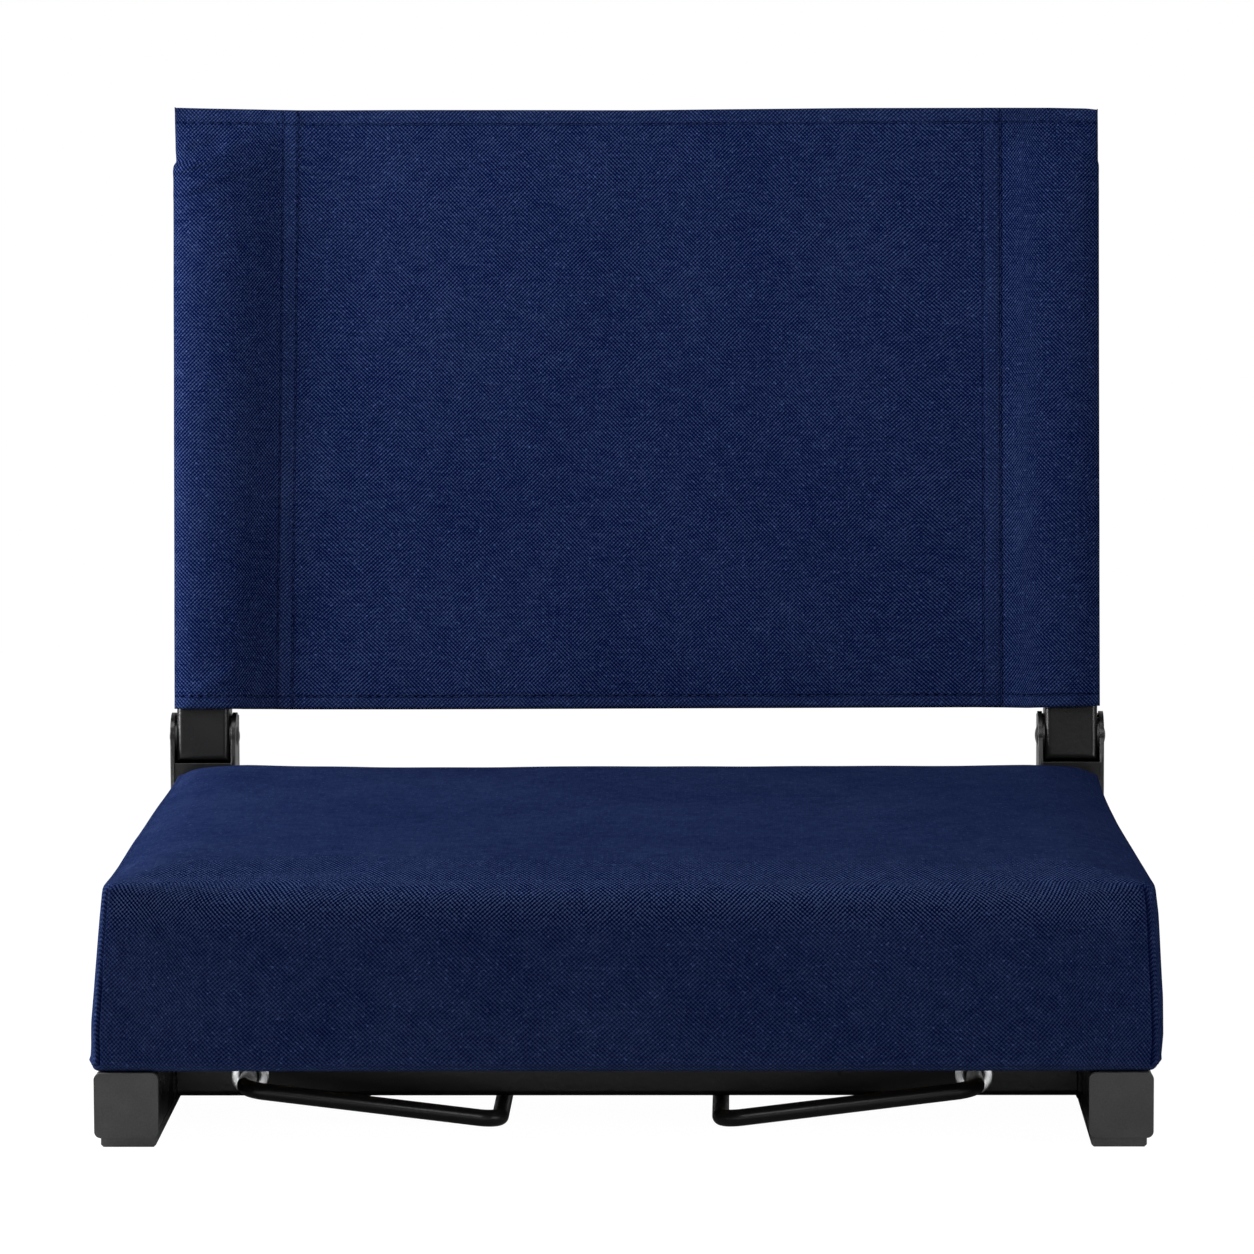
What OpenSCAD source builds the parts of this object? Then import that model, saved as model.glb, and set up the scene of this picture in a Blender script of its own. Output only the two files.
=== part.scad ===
// Padded folding stadium seat: a steel tube frame carries a thick cushion, a cloth back
// stands on two hinged posts, and two swinging hooks hold the seat on a bench.
// X runs across the seat, Y from front to rear and Z up, all in millimetres.

/* [Frame] */
// Width across the outer faces of the side rails
frame_w = 428; // [400:1:470]
// Side of the square rail tube
rail_s = 25.4; // [24:0.2:30]
// Wall of the rail tube
rail_wall = 1.2; // [1:0.1:2.5]
// Outer corner radius of the rail and crossbar tubes
tube_r = 2.4; // [2:0.1:4]
// Side of the square crossbar tube
bar_s = 22.7; // [20:0.1:22.7]
// Wall of the crossbar tube
bar_wall = 1.2; // [1:0.1:2.5]
// Front face of the front crossbar, behind the front feet
front_bar_at = 71; // [64:1:90]
// Free space between the rear crossbar and the uprights
rear_bar_in = 51; // [47:1:90]

/* [Uprights] */
// Width of an upright, across the seat
upright_w = 30; // [29:0.5:34]
// Depth of an upright, front to rear
upright_d = 28; // [28:0.5:32]
// Wall of an upright
upright_wall = 2; // [1.6:0.1:2.2]
// Outer corner radius of an upright
upright_r = 3; // [2.6:0.1:4]
// Height of the cut top edge of the front wall
front_wall_z = 104; // [95:1:108]
// Height at which the front edges of the ears start to slope back
ear_slope_z = 111.5; // [104:0.5:111.5]
// Height of the web between the ears, in front of the post's end
web_top = 113; // [108:0.1:113]
// Lower edge of the web
web_low = 98; // [90:1:104]
// Thickness of the web
web_t = 1; // [0.8:0.1:1.2]
// How far the web stands back from the ears' front edges
web_in = 0.6; // [0.3:0.1:0.8]
// Radius of the ears about the hinge axis
ear_r = 11; // [10:0.1:12]
// Height of the hinge axis
pivot_z = 123.8; // [123.8:0.2:140]

/* [Feet] */
// Thickness of the foot pads under the tubes
pad_h = 4.8; // [4:0.2:8]
// Length of a front foot pad under its rail
pad_l = 112; // [60:1:160]
// Thickness of the cap over a rail's front end
cap_t = 3; // [2:0.5:6]
// How far the cap stands proud of the rail on each side
cap_lip = 0.3; // [0.1:0.1:0.6]
// How far the front pad is set in from the rail's outer face
pad_inset = 2.4; // [0.6:0.1:4]
// Length of the plugs inside the tubes
plug_l = 18; // [8:1:24]
// Bevel along the lower edges of the pads
pad_bevel = 1; // [0.4:0.1:1.6]

/* [Back] */
// Depth of a back post, front to rear
post_d = 22; // [20:0.5:23]
// Wall of a back post
post_wall = 1.2; // [1:0.1:2]
// Outer corner radius of a back post
post_r = 3; // [2.6:0.1:4]
// Corner radius of the front of the posts' lower ends
post_end_r = 2.5; // [2:0.1:6]
// Length of a back post above the hinge axis
post_l = 258; // [220:1:300]
// Lean of the back from upright, in degrees
recline = 6; // [5:0.5:9]
// Free space on each side of a post between the ears
ear_gap = 1; // [1:0.1:1.6]
// Thickness of the plug's plate on top of a post
post_cap_t = 3; // [2:0.5:5]
// Lower edge of the back cover, from the hinge axis
cover_low = 13.3; // [13.3:0.1:24]
// Height of the cover above the post caps
cover_over = 25.8; // [15:0.2:50]
// Thickness of the back cloth
back_cloth = 0.8; // [0.6:0.1:0.8]
// Width of a sleeve from its outer edge to its sewn seam
sleeve_w = 50; // [40:1:80]
// Width of the double-stitched band beside a sleeve
band_w = 7.5; // [5:0.5:12]
// Thickness added by the folded hems and the sewn bands
hem_t = 0.8; // [0.4:0.1:1.2]
// Width of the hems along the top and bottom edges of the back cover
hem_w = 7; // [5:0.5:15]

/* [Cushion] */
// How far the cushion's lower edge stands out past the rails
seat_over = 0.5; // [-3:0.5:5]
// Depth of the cushion along its lower edge
seat_d = 329; // [300:1:360]
// Setback of the cushion's lower front edge from the front feet
seat_at = 1.5; // [1.3:0.1:4]
// Gap between the cushion's lower rear edge and the uprights
seat_behind = 4.5; // [3.5:0.5:12]
// Height of the cushion's top edge over its underside
seat_h = 76.2; // [60:0.2:76.4]
// Rise of the crown over the top edge
crown = 6.5; // [2:0.1:6.6]
// How much the rear edge stands over the middle, and the front edge under it
seat_slope = 1; // [0:0.1:1.2]
// Rounding of the top edge
seat_edge_r = 4; // [3:0.5:16]
// Corner radius of the cushion in plan
seat_corner_r = 6; // [5:0.5:16]
// How far the side panels lean in from the lower edge to the top
lean_in = 5; // [3:0.5:10]
// Outward bulge of the side panels at half height
bulge = 3.4; // [0.5:0.1:3.4]
// How far the top edges draw in between the corners
draw_in = 2.5; // [0:0.1:5]
// Thickness of the cushion's cloth
seat_cloth = 1; // [0.8:0.1:1.5]
// Width of the cloth turned in under the board
turn_in = 34; // [20:1:50]
// Thickness of the plywood board
board_t = 9.5; // [8:0.5:15]
// How far the board is set in from the inside of the cover
board_inset = 5.5; // [5.5:0.5:12]
// Corner radius of the board
board_r = 4; // [3:0.5:12]

/* [Hooks] */
// Diameter of the hook rod
rod_d = 7; // [6:0.1:7.6]
// How far the pair of hooks sits to the left of the middle
hook_aside = 6.1; // [0:0.1:8]
// Distance of the hook pivots from the rails, before that
hook_in = 38; // [30:0.2:60]
// Height of the hook pivots
hook_z = 16.6; // [15.6:0.1:19]
// Distance from the pivot leg to the hook leg of a rod
hook_reach = 106; // [70:0.2:110]
// Setback of the rod's long leg from the front feet
hook_at = 38.5; // [30:0.5:46]
// Length of the leg that goes under the bench
hook_leg = 60; // [40:1:90]
// Bend radius of the rod, on its centreline
bend_r = 9; // [7:0.5:14]
// Clearance of a folded hook above the floor
hook_lift = 0.2; // [0.1:0.1:0.4]

/* [Fasteners] */
// Diameter of the hinge rivets
rivet_d = 6; // [5:0.1:8]
// Diameter of the rivets' domed heads
rivet_head_d = 9.6; // [9:0.1:14]
// Height of the rivets' domed heads
rivet_head_h = 1.2; // [1:0.1:2]
// Outer diameter of the nylon hinge washers
nylon_od = 16; // [11:0.5:20]
// Outer diameter of the zinc hook washers
zinc_od = 17.4; // [14:0.1:20]
// Thickness of the zinc hook washers
zinc_t = 1.6; // [1:0.1:2.5]
// Width of the hook nuts across the flats
nut_af = 12.7; // [11:0.1:14]
// Height of the hook nuts
nut_h = 7.5; // [5:0.5:10]
// Length of rod past its nut
rod_past = 2; // [1:0.5:6]
// Diameter of the seat screws
screw_d = 4.8; // [4:0.1:6]
// Diameter of the seat screws' heads
screw_head_d = 9.6; // [8:0.1:12]
// Height of the seat screws' heads
screw_head_h = 2.6; // [1.5:0.1:3]
// Depth of the seat screws in the board
screw_bite = 7.5; // [4:0.5:7.5]
// Distance of the seat screws from the rails
screw_in = 76.6; // [60:0.2:120]

/* [Fits] */
// Running clearance of a pin or rod in its hole, on the radius
run = 0.08; // [0.05:0.01:0.1]
// Clearance of a fixed pin or screw in its hole, on the radius
snug = 0.05; // [0.02:0.01:0.1]
// Clearance between flat faces that slide
slide = 0.05; // [0.03:0.01:0.1]
// Gap between the cushion's cloth and the rails
soft_gap = 0.3; // [0.2:0.1:0.6]
// Clearance of a plug in its tube, and of the sleeves at the sides of the posts
plug_gap = 0.15; // [0.1:0.01:0.2]
// Clearance of the sleeves in front of the posts and behind them
sleeve_gap = 0.3; // [0.2:0.1:0.4]

/* [Hidden] */
$fn = 48;
eps = 1;
// Rails and crossbars
rail_z = pad_h;
rail_top = rail_z + rail_s;
rail_x = frame_w / 2 - rail_s / 2;
rail_in = frame_w / 2 - rail_s;
hook_x = rail_in - hook_in;
screw_x = rail_in - screw_in;
bar_z = rail_top - bar_s / 2;
// Uprights and hinge
upright_x = frame_w / 2 - upright_w / 2;
upright_front = seat_at + seat_d + seat_behind;
frame_d = upright_front + upright_d;
pivot_d = upright_front + upright_d / 2;
rear_bar_at = upright_front - rear_bar_in - bar_s;
slot_half = upright_d / 2 - upright_wall;
post_half = post_d / 2;
stop_h = (slot_half - slide - post_half / cos(recline)) / tan(recline);
rivet_reach = upright_w / 2;
// Back posts and cover, along the post from the hinge axis
post_w = upright_w - 2 * upright_wall - 2 * ear_gap;
sleeve_half_w = post_w / 2 + plug_gap + back_cloth;
sleeve_half_d = post_half + sleeve_gap + back_cloth;
taper_at = post_l + post_cap_t + plug_gap + back_cloth;
cover_high = taper_at + cover_over;
cover_x = upright_x + sleeve_half_w;
seam_x = cover_x - sleeve_w;
// The part stands with its box centred on the origin
depth_all = pivot_d + taper_at * sin(recline) + sleeve_half_d * cos(recline);
front_y = -depth_all / 2;
// Cushion
seat_w = frame_w + 2 * seat_over;
seat_z = rail_top + soft_gap;
seat_y = front_y + seat_at + seat_d / 2;
board_z = seat_z + seat_cloth;
foam_z = board_z + board_t;
wall_h = seat_h - seat_edge_r;
crown_run = 40;
top_insets = [4, 11, 23, 40, 90];
arc_steps = [0, 30, 60, 90];
wall_steps = [0.12, 0.38, 0.64, 0.88];
foot_turn = 3;
// Hooks
hook_drop = hook_z - rod_d / 2 - hook_lift;
hook_tilt = asin(hook_drop / hook_reach);
rod_end = front_bar_at + bar_s + zinc_t + nut_h + slide * 2 + rod_past;
// Colours
black_paint = "#16171a";
navy = "#26325f";
grey_rubber = "#3a3b3d";
zinc = "#c9ccce";
plywood = "#b98d5c";
foam_yellow = "#e8dfb8";
nylon = "#1c1c1d";

// A rectangle about the origin with rounded corners
module round_rect(w, h, r) {
    square([w, h - 2 * r], center = true);
    square([w - 2 * r, h], center = true);
    for (x = [-1, 1], y = [-1, 1]) translate([x * (w / 2 - r), y * (h / 2 - r)]) circle(r);
}

// The section of a drawn tube
module tube_section(w, h, wall, r) {
    difference() {
        round_rect(w, h, r);
        round_rect(w - 2 * wall, h - 2 * wall, max(r - wall, 0.4));
    }
}

// A solid drawn along Y from one depth to another, its section in X and Z
module along_y(from, to) {
    translate([0, front_y + to, 0]) rotate([90, 0, 0]) linear_extrude(to - from) children();
}

// A cylinder along X, centred on a point
module pin_x(d, l) {
    rotate([0, 90, 0]) cylinder(d = d, h = l, center = true);
}

// A side rail: side is -1 on the left and 1 on the right
module rail(side) {
    color(black_paint)
    along_y(cap_t, upright_front)
    translate([side * rail_x, rail_z + rail_s / 2])
    tube_section(rail_s, rail_s, rail_wall, tube_r);
}

// The side outline of an upright, in depth from the hinge axis and height
module upright_outline() {
    half = upright_d / 2;
    polygon([[-half, rail_z], [half, rail_z], [half, pivot_z + stop_h], [0, pivot_z + stop_h],
        [0, pivot_z + 1], [-ear_r, pivot_z], [-half, ear_slope_z]]);
    translate([0, pivot_z]) circle(ear_r);
}

// An upright: a tube whose side walls go on as the ears of the hinge, whose rear wall
// stops the post at its recline, with a web between the ears in front of the post's end
module upright(side) {
    color(black_paint) {
        difference() {
            intersection() {
                translate([side * upright_x, front_y + pivot_d, rail_z])
                linear_extrude(pivot_z + ear_r)
                tube_section(upright_w, upright_d, upright_wall, upright_r);
                translate([side * upright_x - upright_w, front_y + pivot_d, 0])
                rotate([90, 0, 90]) linear_extrude(2 * upright_w) upright_outline();
            }
            translate([side * upright_x - upright_w / 2 + upright_wall,
                front_y + upright_front - eps, front_wall_z])
            cube([upright_w - 2 * upright_wall, upright_d / 2, pivot_z]);
            translate([side * upright_x - upright_w / 2 + upright_wall, front_y + pivot_d,
                pivot_z + stop_h])
            cube([upright_w - 2 * upright_wall, upright_d, pivot_z]);
            translate([side * upright_x, front_y + pivot_d, pivot_z])
            pin_x(rivet_d + 2 * snug, 2 * upright_w);
        }
        translate([side * upright_x - (upright_w - upright_wall) / 2,
            front_y + upright_front + web_in, web_low])
        cube([upright_w - upright_wall, web_t, web_top - web_low]);
    }
}

// A crossbar between the rails, with the seat screws' holes
module crossbar(at) {
    difference() {
        translate([-rail_in, front_y + at + bar_s / 2, bar_z])
        rotate([90, 0, 90]) linear_extrude(2 * rail_in)
        tube_section(bar_s, bar_s, bar_wall, tube_r);
        for (side = [-1, 1])
            translate([side * screw_x, front_y + at + bar_s / 2, bar_z - bar_s])
            cylinder(d = screw_d + 2 * snug, h = 2 * bar_s);
    }
}

// The front crossbar also has the bores that the hooks turn in
module front_crossbar() {
    color(black_paint)
    difference() {
        crossbar(front_bar_at);
        for (side = [-1, 1])
            along_y(front_bar_at - eps, front_bar_at + bar_s + eps)
            translate([pivot_x(side), hook_z]) circle(d = rod_d + 2 * run);
    }
}

module rear_crossbar() {
    color(black_paint) crossbar(rear_bar_at);
}

// The end view of a pad with its two lower edges bevelled
module pad_section(w, h) {
    polygon([[-w / 2, pad_bevel], [-w / 2 + pad_bevel, 0], [w / 2 - pad_bevel, 0],
        [w / 2, pad_bevel], [w / 2, h], [-w / 2, h]]);
}

// A front foot: a cap over the rail's end, a plug inside it and a pad under it
module foot_front(side) {
    plug_s = rail_s - 2 * rail_wall - 2 * plug_gap;
    pad_w = rail_s - pad_inset - 2 * cap_lip;
    cap_low = pad_h - cap_lip * 4;
    color(grey_rubber) {
        along_y(0, cap_t)
        translate([side * rail_x, (cap_low + rail_top) / 2])
        round_rect(rail_s + 2 * cap_lip, rail_top - cap_low, tube_r + cap_lip);
        along_y(cap_t / 2, cap_t + plug_l)
        translate([side * rail_x, rail_z + rail_s / 2])
        round_rect(plug_s, plug_s, tube_r - cap_lip);
        along_y(cap_lip, pad_l)
        translate([side * (frame_w / 2 - pad_inset - pad_w / 2), 0])
        pad_section(pad_w, pad_h);
    }
}

// A rear foot: a pad under the upright and a plug inside it
module foot_rear(side) {
    color(grey_rubber) {
        translate([side * upright_x, front_y + pivot_d, pad_h / 2])
        linear_extrude(pad_h - pad_h / 2)
        round_rect(upright_w - 2 * cap_lip, upright_d - 2 * cap_lip, upright_r);
        along_y(upright_front + cap_lip + pad_bevel, frame_d - cap_lip - pad_bevel)
        translate([side * upright_x, 0])
        pad_section(upright_w - 2 * cap_lip, pad_h * 3 / 4);
        translate([side * upright_x, front_y + pivot_d, pad_h / 2])
        linear_extrude(plug_l + pad_h / 2)
        round_rect(upright_w - 2 * upright_wall - 2 * plug_gap,
            upright_d - 2 * upright_wall - 2 * plug_gap, upright_r / 2);
    }
}

// One side of the cushion's plan from corner to corner: n points that draw in at the middle
function side_points(p, q, inward, n) =
    [for (i = [1:n]) let (t = i / (n + 1)) p + (q - p) * t + inward * 4 * t * (1 - t)];

// A quarter of a corner's arc, about a centre
function corner_points(c, r, start) =
    [for (a = [0:22.5:90]) c + r * [cos(start + a), sin(start + a)]];

// The cushion's plan, set in from its lower edge, with sides that draw in by d at the middle
function plan(inset, d) =
    let (
        a = seat_w / 2 - inset,
        b = seat_d / 2 - inset,
        r = max(seat_corner_r - inset, 3)
    )
    concat(
        corner_points([a - r, b - r], r, 0),
        side_points([a - r, b], [-a + r, b], [0, -d], 5),
        corner_points([-a + r, b - r], r, 90),
        side_points([-a, b - r], [-a, -b + r], [d, 0], 4),
        corner_points([-a + r, -b + r], r, 180),
        side_points([-a + r, -b], [a - r, -b], [0, d], 5),
        corner_points([a - r, -b + r], r, 270),
        side_points([a, -b + r], [a, b - r], [-d, 0], 4)
    );

// A closed ring of the cushion: its inset, its height, and its share of the slope and the draw
function ring(inset, z, share) =
    [for (p = plan(inset, share * draw_in * max(0, 1 - inset / (2 * crown_run))))
        [p[0], p[1], z + share * seat_slope * p[1] / (seat_d / 2)]];

// How high the crown has risen at a distance in from the rounded edge
function risen(e) = crown * (1 - pow(1 - min(e / crown_run, 1), 3));

// The cushion's surface from its underside to the middle of its top, shrunk by t all round
function cushion_rings(t) = concat(
    [ring(foot_turn + t, t, 0)],
    [for (s = wall_steps)
        ring(t + lean_in * s - bulge * sin(180 * s), t + (wall_h - t) * s, s)],
    [for (a = arc_steps)
        ring(t + lean_in + (seat_edge_r - t) * (1 - cos(a)),
            wall_h + (seat_edge_r - t) * sin(a), 1)],
    [for (e = top_insets) ring(lean_in + seat_edge_r + e, seat_h - t + risen(e), 1)]
);

module cushion_solid(t) {
    rings = cushion_rings(t);
    n = len(rings[0]);
    m = len(rings);
    points = concat([for (r = rings) each r],
        [[0, 0, t], [0, 0, seat_h - t + risen(crown_run)]]);
    walls = [for (k = [0:m - 2], i = [0:n - 1]) let (j = (i + 1) % n)
        each [[k * n + i, k * n + n + i, k * n + j], [k * n + j, k * n + n + i, k * n + n + j]]];
    floor_fan = [for (i = [0:n - 1]) [m * n, i, (i + 1) % n]];
    top_fan = [for (i = [0:n - 1]) [m * n + 1, (m - 1) * n + (i + 1) % n, (m - 1) * n + i]];
    translate([0, seat_y, seat_z])
    polyhedron(points, concat(walls, floor_fan, top_fan), convexity = 4);
}

// The cushion's cover: a sewn shell, turned in under the board and open in the middle there;
// it is punched where a screw would pass through what is turned in
module seat_cover() {
    color(navy)
    difference() {
        cushion_solid(0);
        cushion_solid(seat_cloth);
        translate([0, seat_y, seat_z])
        cube([seat_w - 2 * turn_in, seat_d - 2 * turn_in, 3 * seat_cloth], center = true);
        each_screw() translate([0, 0, seat_z - eps])
        cylinder(d = screw_head_d, h = seat_cloth + 2 * eps);
    }
}

// The foam on the board, filling the cover
module seat_foam() {
    color(foam_yellow)
    intersection() {
        cushion_solid(seat_cloth + soft_gap);
        translate([-seat_w, seat_y - seat_d, foam_z]) cube([2 * seat_w, 2 * seat_d, 2 * seat_h]);
    }
}

module seat_board() {
    color(plywood)
    difference() {
        translate([0, seat_y, board_z]) linear_extrude(board_t)
        round_rect(seat_w - 2 * board_inset - 2 * seat_cloth,
            seat_d - 2 * board_inset - 2 * seat_cloth, board_r);
        each_screw() translate([0, 0, board_z - eps])
        cylinder(d = screw_d + 2 * snug, h = screw_bite + slide + eps);
    }
}

// The four places where a screw holds the board down on the crossbars
module each_screw() {
    for (x = [-screw_x, screw_x], at = [front_bar_at, rear_bar_at])
        translate([x, front_y + at + bar_s / 2, 0]) children();
}

module seat_screws() {
    color(zinc)
    each_screw() translate([0, 0, rail_top - bar_s]) {
        translate([0, 0, -screw_head_h]) cylinder(d = screw_head_d, h = screw_head_h);
        translate([0, 0, -screw_head_h / 2])
        cylinder(d = screw_d, h = screw_head_h / 2 + board_z + screw_bite - rail_top + bar_s);
    }
}

// Carries a shape from a post's own frame to its place: X across, Z up the post, Y rearward
module on_post(side) {
    translate([side * upright_x, front_y + pivot_d, pivot_z]) rotate([-recline, 0, 0]) children();
}

// The side outline of a post's lower end: round behind, and square in front but for its corner
module post_end() {
    r = post_end_r;
    circle(post_half);
    translate([-post_half, r - post_half]) square([post_half, post_half - r]);
    translate([r - post_half, -post_half]) square([post_half - r, post_half]);
    translate([r - post_half, r - post_half]) circle(r);
    translate([-post_half, 0]) square([post_d, 2 * post_l]);
}

module back_post(side) {
    color(black_paint)
    on_post(side) difference() {
        intersection() {
            translate([0, 0, -post_d]) linear_extrude(post_d + post_l)
            tube_section(post_w, post_d, post_wall, post_r);
            translate([-post_w, 0, 0]) rotate([90, 0, 90]) linear_extrude(2 * post_w) post_end();
        }
        pin_x(rivet_d + 2 * run, 2 * post_w);
    }
}

module post_cap(side) {
    gap = post_wall + plug_gap;
    color(grey_rubber)
    on_post(side) {
        translate([0, 0, post_l]) linear_extrude(post_cap_t) round_rect(post_w, post_d, post_r);
        translate([0, 0, post_l - plug_l]) linear_extrude(plug_l + post_cap_t / 2)
        round_rect(post_w - 2 * gap, post_d - 2 * gap, post_r - post_wall);
    }
}

// Half of the back cover's section, set in by t: a sleeve round the post that runs in to
// the sewn seam, where its two layers meet
module sleeve_section(side, t) {
    w = sleeve_half_w - t;
    d = sleeve_half_d - t;
    r = post_r + back_cloth - t;
    translate([side * upright_x, 0]) {
        round_rect(2 * w, 2 * d, r);
        polygon([[-side * (w - r), d], [-side * (upright_x - seam_x), back_cloth - t],
            [-side * (upright_x - seam_x), t - back_cloth], [-side * (w - r), -d]]);
    }
}

// The back cover's side outline, set in by t: full depth along the post, then drawn flat
module cover_outline(t) {
    d = sleeve_half_d - t;
    high = t > 0 ? cover_high - hem_w : cover_high;
    flat = back_cloth - t;
    polygon([[-d, cover_low - t], [-d, taper_at - t], [-flat, high], [flat, high],
        [d, taper_at - t], [d, cover_low - t]]);
}

// A slice of the outline, drawn across the whole back
module across_back() {
    translate([-frame_w, 0, 0]) rotate([90, 0, 90]) linear_extrude(2 * frame_w) children();
}

// The cover: one cloth whose sides wrap round the posts and are sewn back to it in a band,
// with hems along the top and bottom that also close the sleeves' tops
module back_cover() {
    slack = 0.001;
    sheet_t = back_cloth;
    color(navy)
    translate([0, front_y + pivot_d, pivot_z]) rotate([-recline, 0, 0])
    difference() {
        union() {
            translate([-seam_x, -sheet_t / 2, cover_low])
            cube([2 * seam_x, sheet_t, cover_high - cover_low]);
            intersection() {
                linear_extrude(cover_high) {
                    sleeve_section(-1, 0);
                    sleeve_section(1, 0);
                }
                across_back() cover_outline(0);
            }
            for (z = [cover_low, cover_high - hem_w])
                translate([-seam_x, -(sheet_t + hem_t) / 2, z])
                cube([2 * seam_x, sheet_t + hem_t, hem_w]);
            for (side = [-1, 1])
                translate([side * (seam_x - band_w / 2) - band_w / 2, -(sheet_t + hem_t) / 2,
                    cover_low])
                cube([band_w, sheet_t + hem_t, cover_high - cover_low]);
        }
        intersection() {
            linear_extrude(cover_high) {
                sleeve_section(-1, back_cloth - slack);
                sleeve_section(1, back_cloth - slack);
            }
            across_back() cover_outline(back_cloth - slack);
        }
    }
}

// A domed head whose flat side lies at x = 0
module dome() {
    a = rivet_head_d / 2;
    r = (a * a + rivet_head_h * rivet_head_h) / (2 * rivet_head_h);
    intersection() {
        translate([rivet_head_h - r, 0, 0]) sphere(r);
        translate([0, -a, -a]) cube([rivet_head_h, 2 * a, 2 * a]);
    }
}

module hinge_rivet(side) {
    color(black_paint)
    translate([side * upright_x, front_y + pivot_d, pivot_z]) {
        pin_x(rivet_d, upright_w + rivet_head_h);
        translate([rivet_reach, 0, 0]) dome();
        mirror([1, 0, 0]) translate([rivet_reach, 0, 0]) dome();
    }
}

// A nylon washer on each side of each post
module hinge_washers() {
    color(nylon)
    for (x = [-upright_x, upright_x], s = [-1, 1])
        translate([x + s * (post_w + ear_gap) / 2, front_y + pivot_d, pivot_z])
        difference() {
            pin_x(nylon_od, ear_gap - 2 * slide);
            pin_x(rivet_d + 2 * run, 2 * ear_gap);
        }
}

// The place of a hook's pivot: side is -1 on the left and 1 on the right
function pivot_x(side) = side * hook_x - hook_aside;

// A quarter bend of the rod that starts at the origin along -Y and ends along +X
module rod_bend() {
    translate([bend_r, 0, 0]) rotate([0, 0, 180])
    rotate_extrude(angle = 90) translate([bend_r, 0]) circle(d = rod_d);
}

// A bench hook, flat in X and Y with its pivot leg on the Y axis:
// a pivot leg, a long leg across and a leg that goes under the bench
module hook_flat() {
    front = front_y + hook_at;
    translate([0, front + bend_r, 0]) rotate([-90, 0, 0])
    cylinder(d = rod_d, h = rod_end - hook_at - bend_r);
    translate([0, front + bend_r, 0]) rod_bend();
    translate([bend_r, front, 0]) rotate([0, 90, 0])
    cylinder(d = rod_d, h = hook_reach - 2 * bend_r);
    translate([hook_reach, front + bend_r, 0]) mirror([1, 0, 0]) rod_bend();
    translate([hook_reach, front + bend_r, 0]) rotate([-90, 0, 0])
    cylinder(d = rod_d, h = hook_leg - bend_r);
}

module hook(side) {
    color(black_paint)
    translate([pivot_x(side), 0, hook_z])
    mirror([side > 0 ? 1 : 0, 0, 0]) rotate([0, hook_tilt, 0]) hook_flat();
}

// A zinc washer on each face of the crossbar, round each hook's pivot leg
module hook_washers() {
    color(zinc)
    for (x = [pivot_x(-1), pivot_x(1)], at = [front_bar_at - zinc_t, front_bar_at + bar_s])
        along_y(at, at + zinc_t)
        translate([x, hook_z]) difference() {
            circle(d = zinc_od);
            circle(d = rod_d + 2 * run);
        }
}

module hook_nut(side) {
    at = front_bar_at + bar_s + zinc_t + slide;
    color(zinc)
    along_y(at, at + nut_h)
    translate([pivot_x(side), hook_z]) difference() {
        circle(d = nut_af / cos(30), $fn = 6);
        circle(d = rod_d + 2 * snug);
    }
}

rail(-1);  // rail_left
rail(1);  // rail_right
upright(-1);  // upright_left
upright(1);  // upright_right
front_crossbar();
rear_crossbar();
foot_front(-1);  // foot_front_left
foot_front(1);  // foot_front_right
foot_rear(-1);  // foot_rear_left
foot_rear(1);  // foot_rear_right
seat_board();
seat_foam();
seat_cover();
seat_screws();
back_post(-1);  // back_post_left
back_post(1);  // back_post_right
post_cap(-1);  // post_cap_left
post_cap(1);  // post_cap_right
back_cover();
hinge_rivet(-1);  // hinge_rivet_left
hinge_rivet(1);  // hinge_rivet_right
hinge_washers();
hook(-1);  // hook_left
hook(1);  // hook_right
hook_washers();
hook_nut(-1);  // hook_nut_left
hook_nut(1);  // hook_nut_right
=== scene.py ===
# The looks of the bleacher chair: navy cloth on the cushion and the back, painted steel frame
import math
import bmesh
import bpy
import numpy as np
from mathutils import Matrix, Vector


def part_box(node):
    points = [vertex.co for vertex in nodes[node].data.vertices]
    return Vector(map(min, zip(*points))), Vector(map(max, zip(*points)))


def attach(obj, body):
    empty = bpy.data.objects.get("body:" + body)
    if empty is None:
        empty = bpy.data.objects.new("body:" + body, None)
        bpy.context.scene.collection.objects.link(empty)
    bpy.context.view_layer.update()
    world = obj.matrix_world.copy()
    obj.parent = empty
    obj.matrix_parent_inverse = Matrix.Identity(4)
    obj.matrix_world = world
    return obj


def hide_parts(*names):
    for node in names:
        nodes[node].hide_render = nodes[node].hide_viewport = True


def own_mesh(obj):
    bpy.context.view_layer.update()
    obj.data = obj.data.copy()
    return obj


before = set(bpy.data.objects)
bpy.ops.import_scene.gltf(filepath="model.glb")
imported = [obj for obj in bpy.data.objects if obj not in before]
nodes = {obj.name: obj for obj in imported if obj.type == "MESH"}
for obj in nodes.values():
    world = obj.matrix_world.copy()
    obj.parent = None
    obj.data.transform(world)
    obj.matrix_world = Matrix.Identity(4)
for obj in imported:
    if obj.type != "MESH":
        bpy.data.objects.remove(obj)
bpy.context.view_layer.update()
for spare in ("Cube", "Light", "Camera"):
    if spare in bpy.data.objects:
        bpy.data.objects.remove(bpy.data.objects[spare])
print("frame loaded")


# Meshes

# Shades every face of a mesh smoothly
def shadeSmooth(mesh):
    mesh.polygons.foreach_set("use_smooth", np.ones(len(mesh.polygons), bool))


# Puts an object with the data into the scene
def addThing(name, data):
    thing = bpy.data.objects.new(name, data)
    bpy.context.scene.collection.objects.link(thing)
    return thing


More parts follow.
